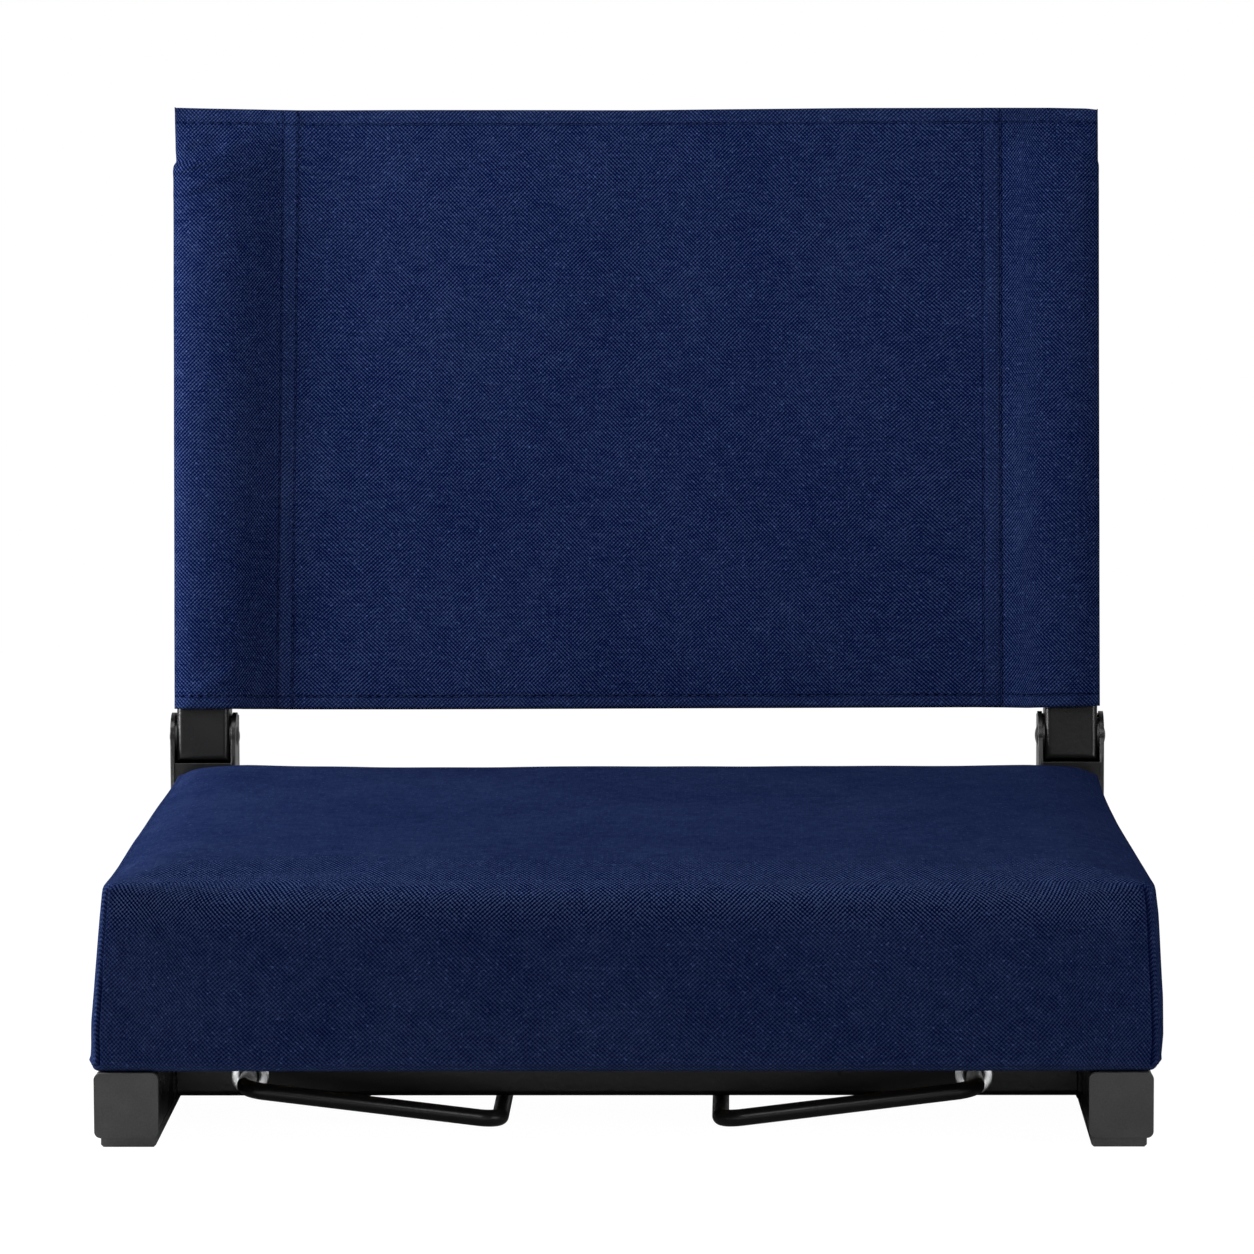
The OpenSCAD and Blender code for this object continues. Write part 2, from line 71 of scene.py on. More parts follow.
# A mesh object whose place is in its vertices; uv is one pair per face corner, in metres
def addMesh(name, points, faces, body=None, slot=None, material=None, uv=None):
    mesh = bpy.data.meshes.new(name)
    mesh.from_pydata(np.asarray(points, float).tolist(), [], [list(map(int, f)) for f in faces])
    mesh.update()
    if uv is not None:
        layer = mesh.uv_layers.new(name="UVMap")
        layer.data.foreach_set("uv", np.asarray(uv, np.float32).ravel())
    shadeSmooth(mesh)
    thing = addThing(name, mesh)
    if material is not None:
        mesh.materials.append(material)
    if body is not None:
        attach(thing, body)
    return thing


# Rows from their columns, each of them an array or one value for all the rows
def stacked(*parts):
    return np.stack(np.broadcast_arrays(*parts), 1)


# Each vector at length 1, v / |v|
def unit(vectors):
    return vectors / np.linalg.norm(vectors, axis=1)[:, None]


# The length run along points from the first one to each
def runLength(points):
    step = np.linalg.norm(np.diff(points, axis=0), axis=-1)
    return np.concatenate([0 * step[:1], np.cumsum(step, axis=0)])


# The quads of a grid of rows x columns points; wrap joins the last column to the first
def gridFaces(rows, columns, wrap=False):
    r, c = np.meshgrid(np.arange(rows - 1), np.arange(columns if wrap else columns - 1),
                       indexing="ij")
    r, c = r.ravel(), c.ravel()
    d = (c + 1) % columns
    return stacked(r * columns + c, r * columns + d, (r + 1) * columns + d,
                   (r + 1) * columns + c)


# Smooth noise: a sum of plane waves with fixed random directions, about as high as asked
def waves(points, size, seed, high=1.0, count=12):
    rng = np.random.default_rng(seed)
    points = np.asarray(points, float)
    directions = unit(rng.normal(size=(count, points.shape[1])))
    lengths = size * rng.uniform(0.7, 1.6, count)
    phases = rng.uniform(0, 2 * math.pi, count)
    total = np.sin(2 * math.pi * (points @ directions.T) / lengths + phases)
    return total.sum(1) / math.sqrt(count) * high


# An ease from 0 to 1 as x goes from low to high
def ease(x, low, high):
    t = np.clip((np.asarray(x, float) - low) / (high - low), 0, 1)
    return t * t * (3 - 2 * t)


# An ease up from a to b and down again from c to d
def hump(x, a, b, c, d):
    return ease(x, a, b) * (1 - ease(x, c, d))


# A bell of the width about the middle, exp(-((x - middle) / width)^2)
def bell(x, middle, width):
    return np.exp(-((x - middle) / width) ** 2)


# Copies one small closed shape to many places, each with three axes as the rows of a matrix:
# place + x first + y second + z third
def repeated(name, shape, shapeFaces, places, axes, **more):
    points = np.einsum("vi,nij->nvj", shape, axes) + places[:, None, :]
    faces = (np.asarray(shapeFaces)[None, :, :]
             + (np.arange(len(places)) * len(shape))[:, None, None])
    return addMesh(name, points.reshape(-1, 3), faces.reshape(-1, len(shapeFaces[0])), **more)


# A small pill along its first axis: rings that shrink to nothing at both ends, as quads
def pill(length, width, height, around=6):
    along = np.array([-1, -0.9, -0.55, 0.55, 0.9, 1.0])
    girth = np.array([0.02, 0.6, 1, 1, 0.6, 0.02])
    turn = np.arange(around) * 2 * math.pi / around
    x = np.repeat(along * length / 2, around)
    y = np.outer(girth, np.cos(turn)).ravel() * width / 2
    z = np.outer(girth, np.sin(turn)).ravel() * height / 2
    quads = gridFaces(len(along), around, True)[:, ::-1].tolist()
    last = len(x) - around
    caps = [[0, 1, 2, 3], [0, 3, 4, 5], [last, last + 3, last + 2, last + 1],
            [last, last + 5, last + 4, last + 3]]
    return stacked(x, y, z), quads + caps


# A rectangle with rounded corners about the origin, from half its width and height: arcs of
# so many steps, and sides of as many steps as counts says, drawn in by 4 t (1 - t) draw
def roundedLoop(w, h, corner, steps, counts, draw=0.0):
    parts, size = [], 2 * np.array([w - corner, h - corner])
    for turned, sign, ahead, count in ((0, (1, 1), (-1, 0), counts[0]),
                                       (90, (-1, 1), (0, -1), counts[1]),
                                       (180, (-1, -1), (1, 0), counts[0]),
                                       (270, (1, -1), (0, 1), counts[1])):
        turn = np.radians(np.linspace(0, 90, steps + 1) + turned)
        arc = size / 2 * sign + corner * stacked(np.cos(turn), np.sin(turn))
        t = (np.arange(1, count) / count)[:, None]
        inward = np.array([-ahead[1], ahead[0]]) * draw
        parts += [arc, arc[-1] + size * ahead * t + inward * 4 * t * (1 - t)]
    return np.vstack(parts)


# Materials

# Links a value that is a socket into an input, or else sets it as the input's constant
def feed(tree, socket, value):
    if isinstance(value, bpy.types.NodeSocket):
        tree.links.new(value, socket)
    else:
        socket.default_value = value


# The emptied node tree of a material or a world
def emptyTree(owner):
    owner.use_nodes = True
    owner.node_tree.nodes.clear()
    return owner.node_tree


# Ends a tree with an output node of the kind
def endTree(tree, kind, socket):
    tree.links.new(socket, tree.nodes.new(kind).inputs[0])


# A new node with its settings, and its inputs as sockets or constants
def addNode(tree, kind, inputs=None, **settings):
    node = tree.nodes.new(kind)
    for key, value in settings.items():
        setattr(node, key, value)
    for key, value in (inputs or {}).items():
        feed(tree, node.inputs[key], value)
    return node


# Two values worked together by one operation; clamp keeps the result between 0 and 1
def mathNode(tree, operation, a, b=0.0, clamp=False):
    return addNode(tree, "ShaderNodeMath", {0: a, 1: b}, operation=operation,
                   use_clamp=clamp).outputs[0]


# The values' product
def times(tree, first, *others):
    for other in others:
        first = mathNode(tree, "MULTIPLY", first, other)
    return first


# The values' sum
def plus(tree, first, *others):
    for other in others:
        first = mathNode(tree, "ADD", first, other)
    return first


# A vector's x, y and z
def axesOf(tree, vector):
    return addNode(tree, "ShaderNodeSeparateXYZ", {0: vector}).outputs


# A grey ramp: 0 below low, 1 above high
def rampNode(tree, value, low, high, outLow=0.0, outHigh=1.0):
    return addNode(tree, "ShaderNodeMapRange", {"Value": value, "From Min": low,
                   "From Max": high, "To Min": outLow, "To Max": outHigh}).outputs[0]


# Smooth noise from 0 to 1, with about scale lumps a metre
def noiseNode(tree, vector, scale, detail=2.0, roughness=0.5):
    return addNode(tree, "ShaderNodeTexNoise", {"Vector": vector, "Scale": scale,
                   "Detail": detail, "Roughness": roughness}).outputs["Fac"]


# The vector times (x, y, 1): a small x draws a pattern out along x
def stretchNode(tree, vector, x, y=1.0):
    return addNode(tree, "ShaderNodeVectorMath", {0: vector, 1: (x, y, 1)},
                   operation="MULTIPLY").outputs[0]


# (1 - share) a + share b
def mixColour(tree, share, a, b):
    node = addNode(tree, "ShaderNodeMix", {0: share}, data_type="RGBA")
    for key, value in ((6, a), (7, b)):
        feed(tree, node.inputs[key], (*value, 1) if isinstance(value, tuple) else value)
    return node.outputs[2]


# A node group with the named inputs and outputs; fill builds its inside
def addGroup(name, inputs, outputs, fill):
    group = bpy.data.node_groups.new(name, "ShaderNodeTree")
    kinds = {"value": "NodeSocketFloat", "vector": "NodeSocketVector"}
    for way, sockets in (("INPUT", inputs), ("OUTPUT", outputs)):
        for key, kind in sockets.items():
            group.interface.new_socket(key, in_out=way, socket_type=kinds[kind])
    start = group.nodes.new("NodeGroupInput")
    end = group.nodes.new("NodeGroupOutput")
    for key, socket in fill(group, start.outputs).items():
        group.links.new(socket, end.inputs[key])
    return group


# A node group placed in a tree with its own values
def useGroup(tree, group, inputs):
    node = addNode(tree, "ShaderNodeGroup", node_tree=group)
    for key, value in inputs.items():
        feed(tree, node.inputs[key], value)
    return node.outputs


# A noise is given by its scale, detail and roughness, here and below
weaveLook = {
    "patchy": (3.0, 0.6), "lean": (0.42, 0.58, 0.36, 0.64), "drawn": 0.12,
    "threads": (800.0, 1.0), "threadTone": (0.6, 1.4), "hair": 0.3, "hairs": (620.0, 2.0, 0.7),
    "specks": (620.0, 1.0), "speckTone": (0.62, 0.74), "clouds": (14.0, 3.0, 0.6),
    "mottles": (130.0, 3.0, 0.6),
}


# Woven cloth. In a plain weave with threads p apart the height goes as
# sin(pi u / p) sin(pi v / p), which is half of cos(pi (u - v) / p) - cos(pi (u + v) / p):
# two sets of slanting lines. Lean makes one set the stronger, in patches.
def fillWeave(tree, given):
    k, place = weaveLook, given["Place"]
    at = axesOf(tree, place)
    per = mathNode(tree, "DIVIDE", math.pi, given["Pitch"])
    u, v = times(tree, at[0], per), times(tree, at[1], per)
    rising = mathNode(tree, "COSINE", mathNode(tree, "SUBTRACT", u, v))
    falling = mathNode(tree, "COSINE", plus(tree, u, v))
    patch = rampNode(tree, noiseNode(tree, place, given["Patches"], *k["patchy"]), *k["lean"])
    back = mathNode(tree, "SUBTRACT", 1.0, patch)
    lines = mathNode(tree, "SUBTRACT", times(tree, rising, patch), times(tree, falling, back))
    weft = noiseNode(tree, stretchNode(tree, place, k["drawn"]), *k["threads"])
    warp = noiseNode(tree, stretchNode(tree, place, 1.0, k["drawn"]), *k["threads"])
    rest = mathNode(tree, "SUBTRACT", 2.0, given["Slub"])
    thread = plus(tree, times(tree, weft, given["Slub"]), times(tree, warp, rest))
    return {"Height": rampNode(tree, lines, -1.0, 1.0),
            "Thread": rampNode(tree, thread, *k["threadTone"]),
            "Speck": rampNode(tree, noiseNode(tree, place, *k["specks"]), *k["speckTone"]),
            "Cloud": noiseNode(tree, place, *k["clouds"]),
            "Fuzz": noiseNode(tree, stretchNode(tree, place, k["hair"]), *k["hairs"]),
            "Mottle": noiseNode(tree, place, *k["mottles"])}


weave = addGroup("weave", {"Place": "vector", "Pitch": "value", "Patches": "value",
                           "Slub": "value"},
                 {"Height": "value", "Thread": "value", "Speck": "value", "Cloud": "value",
                  "Fuzz": "value", "Mottle": "value"}, fillWeave)


# The tree and the shader of an emptied material
def freshMaterial(name):
    material = bpy.data.materials.get(name) or bpy.data.materials.new(name)
    tree = emptyTree(material)
    shader = tree.nodes.new("ShaderNodeBsdfPrincipled")
    endTree(tree, "ShaderNodeOutputMaterial", shader.outputs[0])
    return material, tree, shader


# Feeds the shader's inputs, whose names have _ for each space
def setShader(tree, shader, **inputs):
    for key, value in inputs.items():
        feed(tree, shader.inputs[key.replace("_", " ")], value)


# A normal tilted by the slope of distance x height, over a given normal if there is one
def bumpNode(tree, height, distance, strength=1.0, normal=None):
    inputs = {"Height": height, "Distance": distance, "Strength": strength}
    if normal is not None:
        inputs["Normal"] = normal
    return addNode(tree, "ShaderNodeBump", inputs).outputs[0]


# Uneven gives each noise its range and how much lighter or darker it makes the cloth; boxed
# and sewn give the cushion's cloth and the back's their contrast, middle tone and slub. Dark and
# light are the cloth between its threads and on top of them, with the weave's shade and
# highlights painted in
clothLook = {
    "dark": (0.0003, 0.0016, 0.0150), "light": (0.0146, 0.0236, 0.0600),
    "paintedHighlight": (0.029, 0.044, 0.086), "speck": (0.022, 0.036, 0.095), "sharp": 1.5,
    "byHeight": 0.8, "byThread": 0.2, "tone": (0.2, 0.84), "highlightGain": 3.4, "highlightLift": 0.02,
    "highlightDots": (0.62, 0.9), "highlightShare": 0.6, "hemHighlightShare": 0.22, "seamShadeShare": 0.92,
    "uneven": (("Cloud", 0.3, 0.7, 0.08), ("Mottle", 0.35, 0.65, 0.06), ("Fuzz", 0.3, 0.7, 0.05)),
    "stripHighlight": 0.07, "stripEdge": 0.0004, "pitch": 0.0009, "patches": 55.0,
    "boxed": (0.7, 0.5, 1.0), "sewn": (1.3, 0.385, 1.3), "relief": 0.0003, "rough": 0.85,
    "shine": 0.0, "grooveWide": 0.00046, "grooveDeep": 0.0013, "grooveShadeShare": 0.95,
    "grooveNoise": 70.0, "grooveTone": (0.35, 0.65, 0.4, 1.0), "between": 0.35,
    "stitch": 0.0042,
}


# Sewn lines in the cloth: for each line across or along it, a groove as deep as
# exp(-(distance / width)^2), deeper where the needle went in and uneven along it. The cloth is
# bent in by the groove and painted darker in it, painted shade in the seams
def grooveNode(tree, place, across, along):
    k = clothLook
    axes, total = axesOf(tree, place), 0.0
    for lines, axis, other in ((across, axes[0], axes[1]), (along, axes[1], axes[0])):
        beat = mathNode(tree, "COSINE", times(tree, other, 2 * math.pi / k["stitch"]))
        holes = rampNode(tree, beat, -1.0, 1.0, k["between"], 1.0)
        for at in lines:
            away = mathNode(tree, "DIVIDE", mathNode(tree, "SUBTRACT", axis, at),
                            k["grooveWide"])
            near = mathNode(tree, "EXPONENT", times(tree, -1.0, times(tree, away, away)))
            total = mathNode(tree, "MAXIMUM", total, times(tree, near, holes))
    uneven = rampNode(tree, noiseNode(tree, place, k["grooveNoise"]), *k["grooveTone"])
    return times(tree, total, uneven)


# The doubled strips of cloth: between each pair of lines across, and beyond the lines along.
# The cloth is painted lighter on them, a painted highlight on the doubled strips
def stripNode(tree, place, across, along):
    edge, axes = clothLook["stripEdge"], axesOf(tree, place)
    total = mathNode(tree, "ADD", rampNode(tree, axes[1], along[0], along[0] - edge),
                     rampNode(tree, axes[1], along[1], along[1] + edge), True)
    for start, end in zip(across[::2], across[1::2]):
        inside = mathNode(tree, "MULTIPLY", rampNode(tree, axes[0], start, start + edge),
                          rampNode(tree, axes[0], end, end - edge), True)
        total = mathNode(tree, "MAXIMUM", total, inside)
    return total


# Cloth: dark between the threads and light on top of them, the weave's pattern with its shade
# and highlights painted into the colour, as the cloth has no shine. Across and along are the
# sewn lines of a flat cloth; a cloth without them is the cushion's, whose mesh carries a seam
# value, painted shade in the sunk corner seams, a hem value, a painted highlight on the raised
# hem, and a value for the band along the front under the top edge, where the weave shows more
# and the threads are painted brighter, a painted highlight
def makeCloth(name, across=(), along=()):
    k, worked = clothLook, not across
    contrast, middle, slub = k["boxed"] if worked else k["sewn"]
    material, tree, shader = freshMaterial(name)
    place = addNode(tree, "ShaderNodeUVMap", uv_map="UVMap").outputs[0]
    woven = useGroup(tree, weave, {"Place": place, "Pitch": k["pitch"],
                                   "Patches": k["patches"], "Slub": slub})
    # Higher in the weave is lighter: the threads' shade and highlights painted into the colour
    lit = plus(tree, times(tree, woven["Height"], k["byHeight"]),
               times(tree, woven["Thread"], k["byThread"]))
    lit = rampNode(tree, lit, *k["tone"], middle - contrast / 2, middle + contrast / 2)
    if worked:
        seam, hem, paintedHighlight = (addNode(tree, "ShaderNodeAttribute", attribute_name=key)
                            .outputs["Fac"] for key in ("seam", "hem", "paintedHighlight"))
        # In the band under the front top edge the weave gets more contrast and is lifted: a
        # painted highlight
        away = mathNode(tree, "SUBTRACT", lit, 0.5)
        lit = plus(tree, lit, times(tree, away, paintedHighlight, k["highlightGain"]),
                   times(tree, paintedHighlight, k["highlightLift"]))
    for key, near, far, reach in k["uneven"]:
        lit = plus(tree, lit, rampNode(tree, woven[key], near, far, -reach, reach))
    lit = mathNode(tree, "POWER", rampNode(tree, lit, 0.0, 1.0), k["sharp"])
    base = mixColour(tree, lit, k["dark"], k["light"])
    base = mixColour(tree, times(tree, woven["Speck"], woven["Height"]), base, k["speck"])
    normal = bumpNode(tree, woven["Height"], k["relief"])
    if worked:
        # Brighter thread tops in the band under the front top edge, a painted highlight
        dots = times(tree, rampNode(tree, woven["Height"], *k["highlightDots"]), paintedHighlight)
        # The hem painted lighter, a painted highlight on the raised fold
        layers = ((dots, k["highlightShare"], "paintedHighlight"), (hem, k["hemHighlightShare"], "light"),
                  # Corner seams painted darker, painted shade in the sunk seams
                  (seam, k["seamShadeShare"], "dark"))
    else:
        groove = grooveNode(tree, place, across, along)
        # Doubled strips painted lighter, a painted highlight
        layers = ((stripNode(tree, place, across, along), k["stripHighlight"], "light"),
                  # Seam grooves painted darker, painted shade
                  (groove, k["grooveShadeShare"], "dark"))
        normal = bumpNode(tree, mathNode(tree, "SUBTRACT", 1.0, groove), k["grooveDeep"], 1.0,
                          normal)
    for mask, share, colour in layers:
        base = mixColour(tree, mathNode(tree, "MULTIPLY", mask, share, True), base, k[colour])
    setShader(tree, shader, Base_Color=base, Roughness=k["rough"], Normal=normal,
              Specular_IOR_Level=k["shine"])
    return material


# Colour, roughness and shine
plainLooks = {
    "navy_thread": ((0.0042, 0.0080, 0.030), 0.8, 0.0),
    "nylon": ((0.012, 0.012, 0.013), 0.45, 0.5),
}


# One colour and one shine all over
def makePlain(name):
    colour, rough, shine = plainLooks[name]
    material, tree, shader = freshMaterial(name)
    setShader(tree, shader, Base_Color=(*colour, 1), Roughness=rough, Specular_IOR_Level=shine)
    return material


paintLook = {
    "colour": (0.0052, 0.0053, 0.0056), "paleWearAndHighlight": (0.045, 0.045, 0.046),
    "rough": (0.3, 0.7, 0.22, 0.37), "clouds": (22.0, 4.0, 0.6), "shine": 0.18,
    "peel": 0.00012, "peels": 420.0, "peelShare": 0.6, "flecks": (1500.0, 1.0),
    "fleckTone": (0.7, 0.78), "fleckShare": 0.3, "edge": 0.0006, "turned": (0.99, 0.8),
    "breaks": (180.0, 4.0, 0.65), "broken": (0.46, 0.62), "edgeWearAndHighlight": 0.12, "samples": 4,
}


# Worn and lit edges: the shading rounded over by a radius, and a mask that is lighter where the
# rounded direction turns away from the face's own, broken up by noise. The paint is made lighter
# under the mask, partly as wear and partly as a painted highlight along the edges
def fillEdges(tree, given):
    k = paintLook
    soft = addNode(tree, "ShaderNodeBevel", {"Radius": given["Radius"]},
                   samples=k["samples"]).outputs[0]
    hard = addNode(tree, "ShaderNodeNewGeometry").outputs["Normal"]
    same = addNode(tree, "ShaderNodeVectorMath", {0: soft, 1: hard},
                   operation="DOT_PRODUCT").outputs["Value"]
    breaks = noiseNode(tree, given["Place"], *k["breaks"])
    mask = times(tree, rampNode(tree, same, *k["turned"]),
                 rampNode(tree, breaks, *k["broken"]))
    return {"Mask": mask, "Normal": soft}


wornAndLitEdges = addGroup("worn_and_lit_edges", {"Place": "vector", "Radius": "value"},
                     {"Mask": "value", "Normal": "vector"}, fillEdges)


# Powder coat: faint orange peel, with the tone and the shine a little uneven
def makePaint():
    k = paintLook
    material, tree, shader = freshMaterial("black_paint")
    place = addNode(tree, "ShaderNodeTexCoord").outputs["Object"]
    edges = useGroup(tree, wornAndLitEdges, {"Place": place, "Radius": k["edge"]})
    peel = noiseNode(tree, place, k["peels"])
    cloud = noiseNode(tree, place, *k["clouds"])
    fleck = rampNode(tree, noiseNode(tree, place, *k["flecks"]), *k["fleckTone"])
    base = mixColour(tree, times(tree, fleck, k["fleckShare"]), k["colour"], k["paleWearAndHighlight"])
    # Edges painted lighter, partly wear and partly a painted highlight along them
    base = mixColour(tree, times(tree, edges["Mask"], k["edgeWearAndHighlight"]), base, k["paleWearAndHighlight"])
    setShader(tree, shader, Base_Color=base, Specular_IOR_Level=k["shine"],
              Roughness=rampNode(tree, cloud, *k["rough"]),
              Normal=bumpNode(tree, peel, k["peel"], k["peelShare"], edges["Normal"]))
    return material


rubberLook = {
    "colour": (0.0136, 0.0137, 0.0141), "dust": (0.03, 0.03, 0.0296),
    "clouds": (60.0, 4.0, 0.6), "dusty": (0.45, 0.8, 0.0, 0.5), "grains": (1400.0, 3.0, 0.6),
    "grain": 0.00005, "grainShare": 0.7, "rough": (0.3, 0.7, 0.6, 0.82), "shine": 0.4,
}


# Rubber: a fine grain, with dust in soft clouds
def makeRubber():
    k = rubberLook
    material, tree, shader = freshMaterial("grey_rubber")
    place = addNode(tree, "ShaderNodeTexCoord").outputs["Object"]
    grain = noiseNode(tree, place, *k["grains"])
    cloud = noiseNode(tree, place, *k["clouds"])
    base = mixColour(tree, rampNode(tree, cloud, *k["dusty"]), k["colour"], k["dust"])
    setShader(tree, shader, Base_Color=base, Specular_IOR_Level=k["shine"],
              Roughness=rampNode(tree, grain, *k["rough"]),
              Normal=bumpNode(tree, grain, k["grain"], k["grainShare"]))
    return material


zincLook = {"colour": (0.95, 0.96, 0.97), "dull": (0.88, 0.89, 0.9), "dullTone": (0.35, 0.7),
            "clouds": (260.0, 4.0, 0.65), "rough": (0.3, 0.7, 0.26, 0.42)}


# Zinc plate: bright metal, duller and rougher in small clouds
def makeZinc():
    k = zincLook
    material, tree, shader = freshMaterial("zinc")
    place = addNode(tree, "ShaderNodeTexCoord").outputs["Object"]
    cloud = noiseNode(tree, place, *k["clouds"])
    base = mixColour(tree, rampNode(tree, cloud, *k["dullTone"]), k["colour"], k["dull"])
    setShader(tree, shader, Base_Color=base, Metallic=1.0,
              Roughness=rampNode(tree, cloud, *k["rough"]))
    return material


plyLook = {
    "pale": (0.46, 0.3, 0.155), "dark": (0.26, 0.15, 0.07), "glue": (0.08, 0.045, 0.02),
    "ply": 0.0019, "glueShare": 0.07, "upright": 0.5, "drawn": 0.06,
    "grains": (210.0, 5.0, 0.62), "broads": (30.0, 3.0), "mix": (0.6, 0.4),
    "tone": (0.4, 0.62), "oddShare": 0.6, "rough": 0.6, "relief": 0.0001, "reliefShare": 0.5,
}


# Plywood: long grain on its faces; along Z the plies lie one over another, and every
# other ply is darker because its grain meets the edge end on
def makePly():
    k = plyLook
    material, tree, shader = freshMaterial("plywood")
    place = addNode(tree, "ShaderNodeTexCoord").outputs["Object"]
    along = stretchNode(tree, place, k["drawn"])
    grain = noiseNode(tree, along, *k["grains"])
    broad = noiseNode(tree, along, *k["broads"])
    layer = mathNode(tree, "DIVIDE", axesOf(tree, place)[2], k["ply"])
    odd = mathNode(tree, "GREATER_THAN", mathNode(tree, "FRACT", times(tree, layer, 0.5)), 0.5)
    line = mathNode(tree, "LESS_THAN", mathNode(tree, "FRACT", layer), k["glueShare"])
    normal = addNode(tree, "ShaderNodeNewGeometry").outputs["Normal"]
    flat = mathNode(tree, "ABSOLUTE", axesOf(tree, normal)[2])
    edge = mathNode(tree, "LESS_THAN", flat, k["upright"])
    mixed = plus(tree, times(tree, grain, k["mix"][0]), times(tree, broad, k["mix"][1]))
    base = mixColour(tree, rampNode(tree, mixed, *k["tone"]), k["pale"], k["dark"])
    base = mixColour(tree, times(tree, odd, edge, k["oddShare"]), base, k["dark"])
    base = mixColour(tree, times(tree, line, edge), base, k["glue"])
    setShader(tree, shader, Base_Color=base, Roughness=k["rough"],
              Normal=bumpNode(tree, grain, k["relief"], k["reliefShare"]))
    return material


cloth, thread = makeCloth("navy_cloth"), makePlain("navy_thread")
paint, zincPlate = makePaint(), makeZinc()
makeRubber()
makePlain("nylon")
makePly()
print("materials made")


# Cushion: a boxed cover over foam, turned in under the board

# Pairs that differ from side to side give the left side's value and then the right side's.
# Waves are a size, a seed and a height; a run is where an ease starts and ends; a crease or a
# fold has two ends, a width and a height
cushion = {
    "width": 0.429, "depth": 0.329, "midY": -0.028208, "low": 0.0305, "high": 0.0765,
    "edgeSide": 0.0028, "edgeFront": 0.011, "edgeRear": 0.006, "edgeRun": (0.004, 0.05),
    "corner": 0.004, "leanIn": 0.0052, "drawIn": 0.002, "drawOver": 0.12,
    "crown": 0.0066, "crownRun": 0.036, "crownBend": 2.4, "rearRun": 0.024,
    "rearFrom": (0.02, 0.12), "slope": 0.001, "turnIn": 0.034, "foot": 0.0022, "thick": 0.001,
    "pressed": 0.93, "across": 150, "along": 116, "round": 16,
    "rings": {"under": 12, "foot": 6, "wall": 44, "edge": 11, "top": 46}, "topSpacing": 1.35,
    "seamDeep": 0.0013, "seamWide": 0.0008, "seamOff": 0.0014, "seamLeft": 0.35,
    "seamFade": (0.03, 0.045), "footFrom": 15, "wallFrom": 0.0004, "edgeFrom": 0.12,
    "hemHigh": 0.0036, "hemStep": 0.0005, "hemEdge": 0.0003, "hemTone": (0.0004, 0.0002),
    "highlightHigh": 0.069, "highlightWide": 0.0075,
    "heights": (0.0, 0.003, 0.012, 0.028, 0.045, 0.062, 0.072, 0.0765),
    "bulgeLeft": (0.0014, 0.0018, 0.0018, 0.0016, 0.0014, 0.0013, 0.001, 0.0004),
    "bulgeRight": (0.001, 0.0028, 0.0042, 0.0050, 0.0052, 0.0054, 0.0050, 0.0040),
    "bulgeEnds": (0.0, 0.0006, 0.0012, 0.0018, 0.0016, 0.0009, 0.0004, 0.0),
    "bulgeOver": 0.02, "sideIn": 0.0045, "sideRun": (0.06, 0.004), "endRun": 0.04,
    "loss": (0.3, 0.75), "lossFrom": 0.03, "lossTo": (0.3, 0.25),
    "fore": (0.35, 0.62), "foreGain": (0.75, 0.48), "foreRun": 0.02,
    "shoulder": 0.0012, "shoulderRun": (0.002, 0.016, 0.2, 0.32),
    "flank": (0.0018, 0.0006), "flankRun": (0.03, 0.14, 0.24, 0.32),
    "wallLow": (0.006, 0.02), "wallHigh": 0.006, "riseFrom": 0.05, "inner": (0.012, 0.04),
    "rearRise": 0.0016, "rearRiseRun": (0.02, 0.15),
    "rearCorner": 0.0018, "rearCornerRun": (0.08, 0.158), "rearCornerOver": (0.004, 0.02),
    "kept": 0.6, "joined": 0.0004, "slack": (0.11, 3, 0.0003), "slackUp": 0.6,
    "fine": (0.035, 4, 0.00008), "soft": (0.16, 6, 0.0004), "softFrom": (0.002, 0.02),
    "pull": (0.045, 5, 0.0004), "pullRun": 0.03, "foldFrom": 0.008,
    "creases": ((-0.2090, 0.066, -0.1935, 0.028, 0.0048, 0.0016),
                (-0.1990, 0.070, -0.1860, 0.044, 0.0050, -0.0008),
                (-0.1850, 0.020, -0.2060, 0.006, 0.0050, 0.0008),
                (0.2040, 0.070, 0.2075, 0.036, 0.0045, -0.0012),
                (0.2100, 0.038, 0.1950, 0.010, 0.0052, 0.0018),
                (0.1930, 0.058, 0.1860, 0.024, 0.0070, 0.0009)),
    "folds": ((-0.2050, -0.154, -0.1150, -0.136, 0.0100, -0.0014),
              (-0.1950, -0.120, -0.1500, -0.060, 0.0140, 0.0010),
              (0.2000, -0.150, 0.1450, -0.128, 0.0090, -0.0010),
              (-0.0600, 0.125, 0.1200, 0.120, 0.0060, -0.0005)),
}


# The cushion's plan, set in from its lower edge, with sides that draw in at the middle
def planTable(inset, draw):
    c = cushion
    return roundedLoop(c["width"] / 2 - inset, c["depth"] / 2 - inset,
                       max(c["corner"] - inset, 0.003), c["round"],
                       (c["across"] + 1, c["along"] + 1), draw)


# For each column of the rings: how near its corner's arc is to the seam, from 0 to 1, and
# whether it belongs to an end panel and not to a side panel, parted at the seams
def cornerShare():
    c = cushion
    arc = np.linspace(-1, 1, c["round"] + 1) * math.pi / 4 * c["corner"]
    early = bell(arc, -c["seamOff"], c["seamWide"])
    across, along = np.zeros(c["across"]), np.zeros(c["along"])
    share = np.concatenate([early[::-1], across, early, along] * 2)
    atEnd = np.concatenate([arc > c["seamOff"], across + 1, arc < -c["seamOff"], along] * 2)
    return share, atEnd.astype(bool)


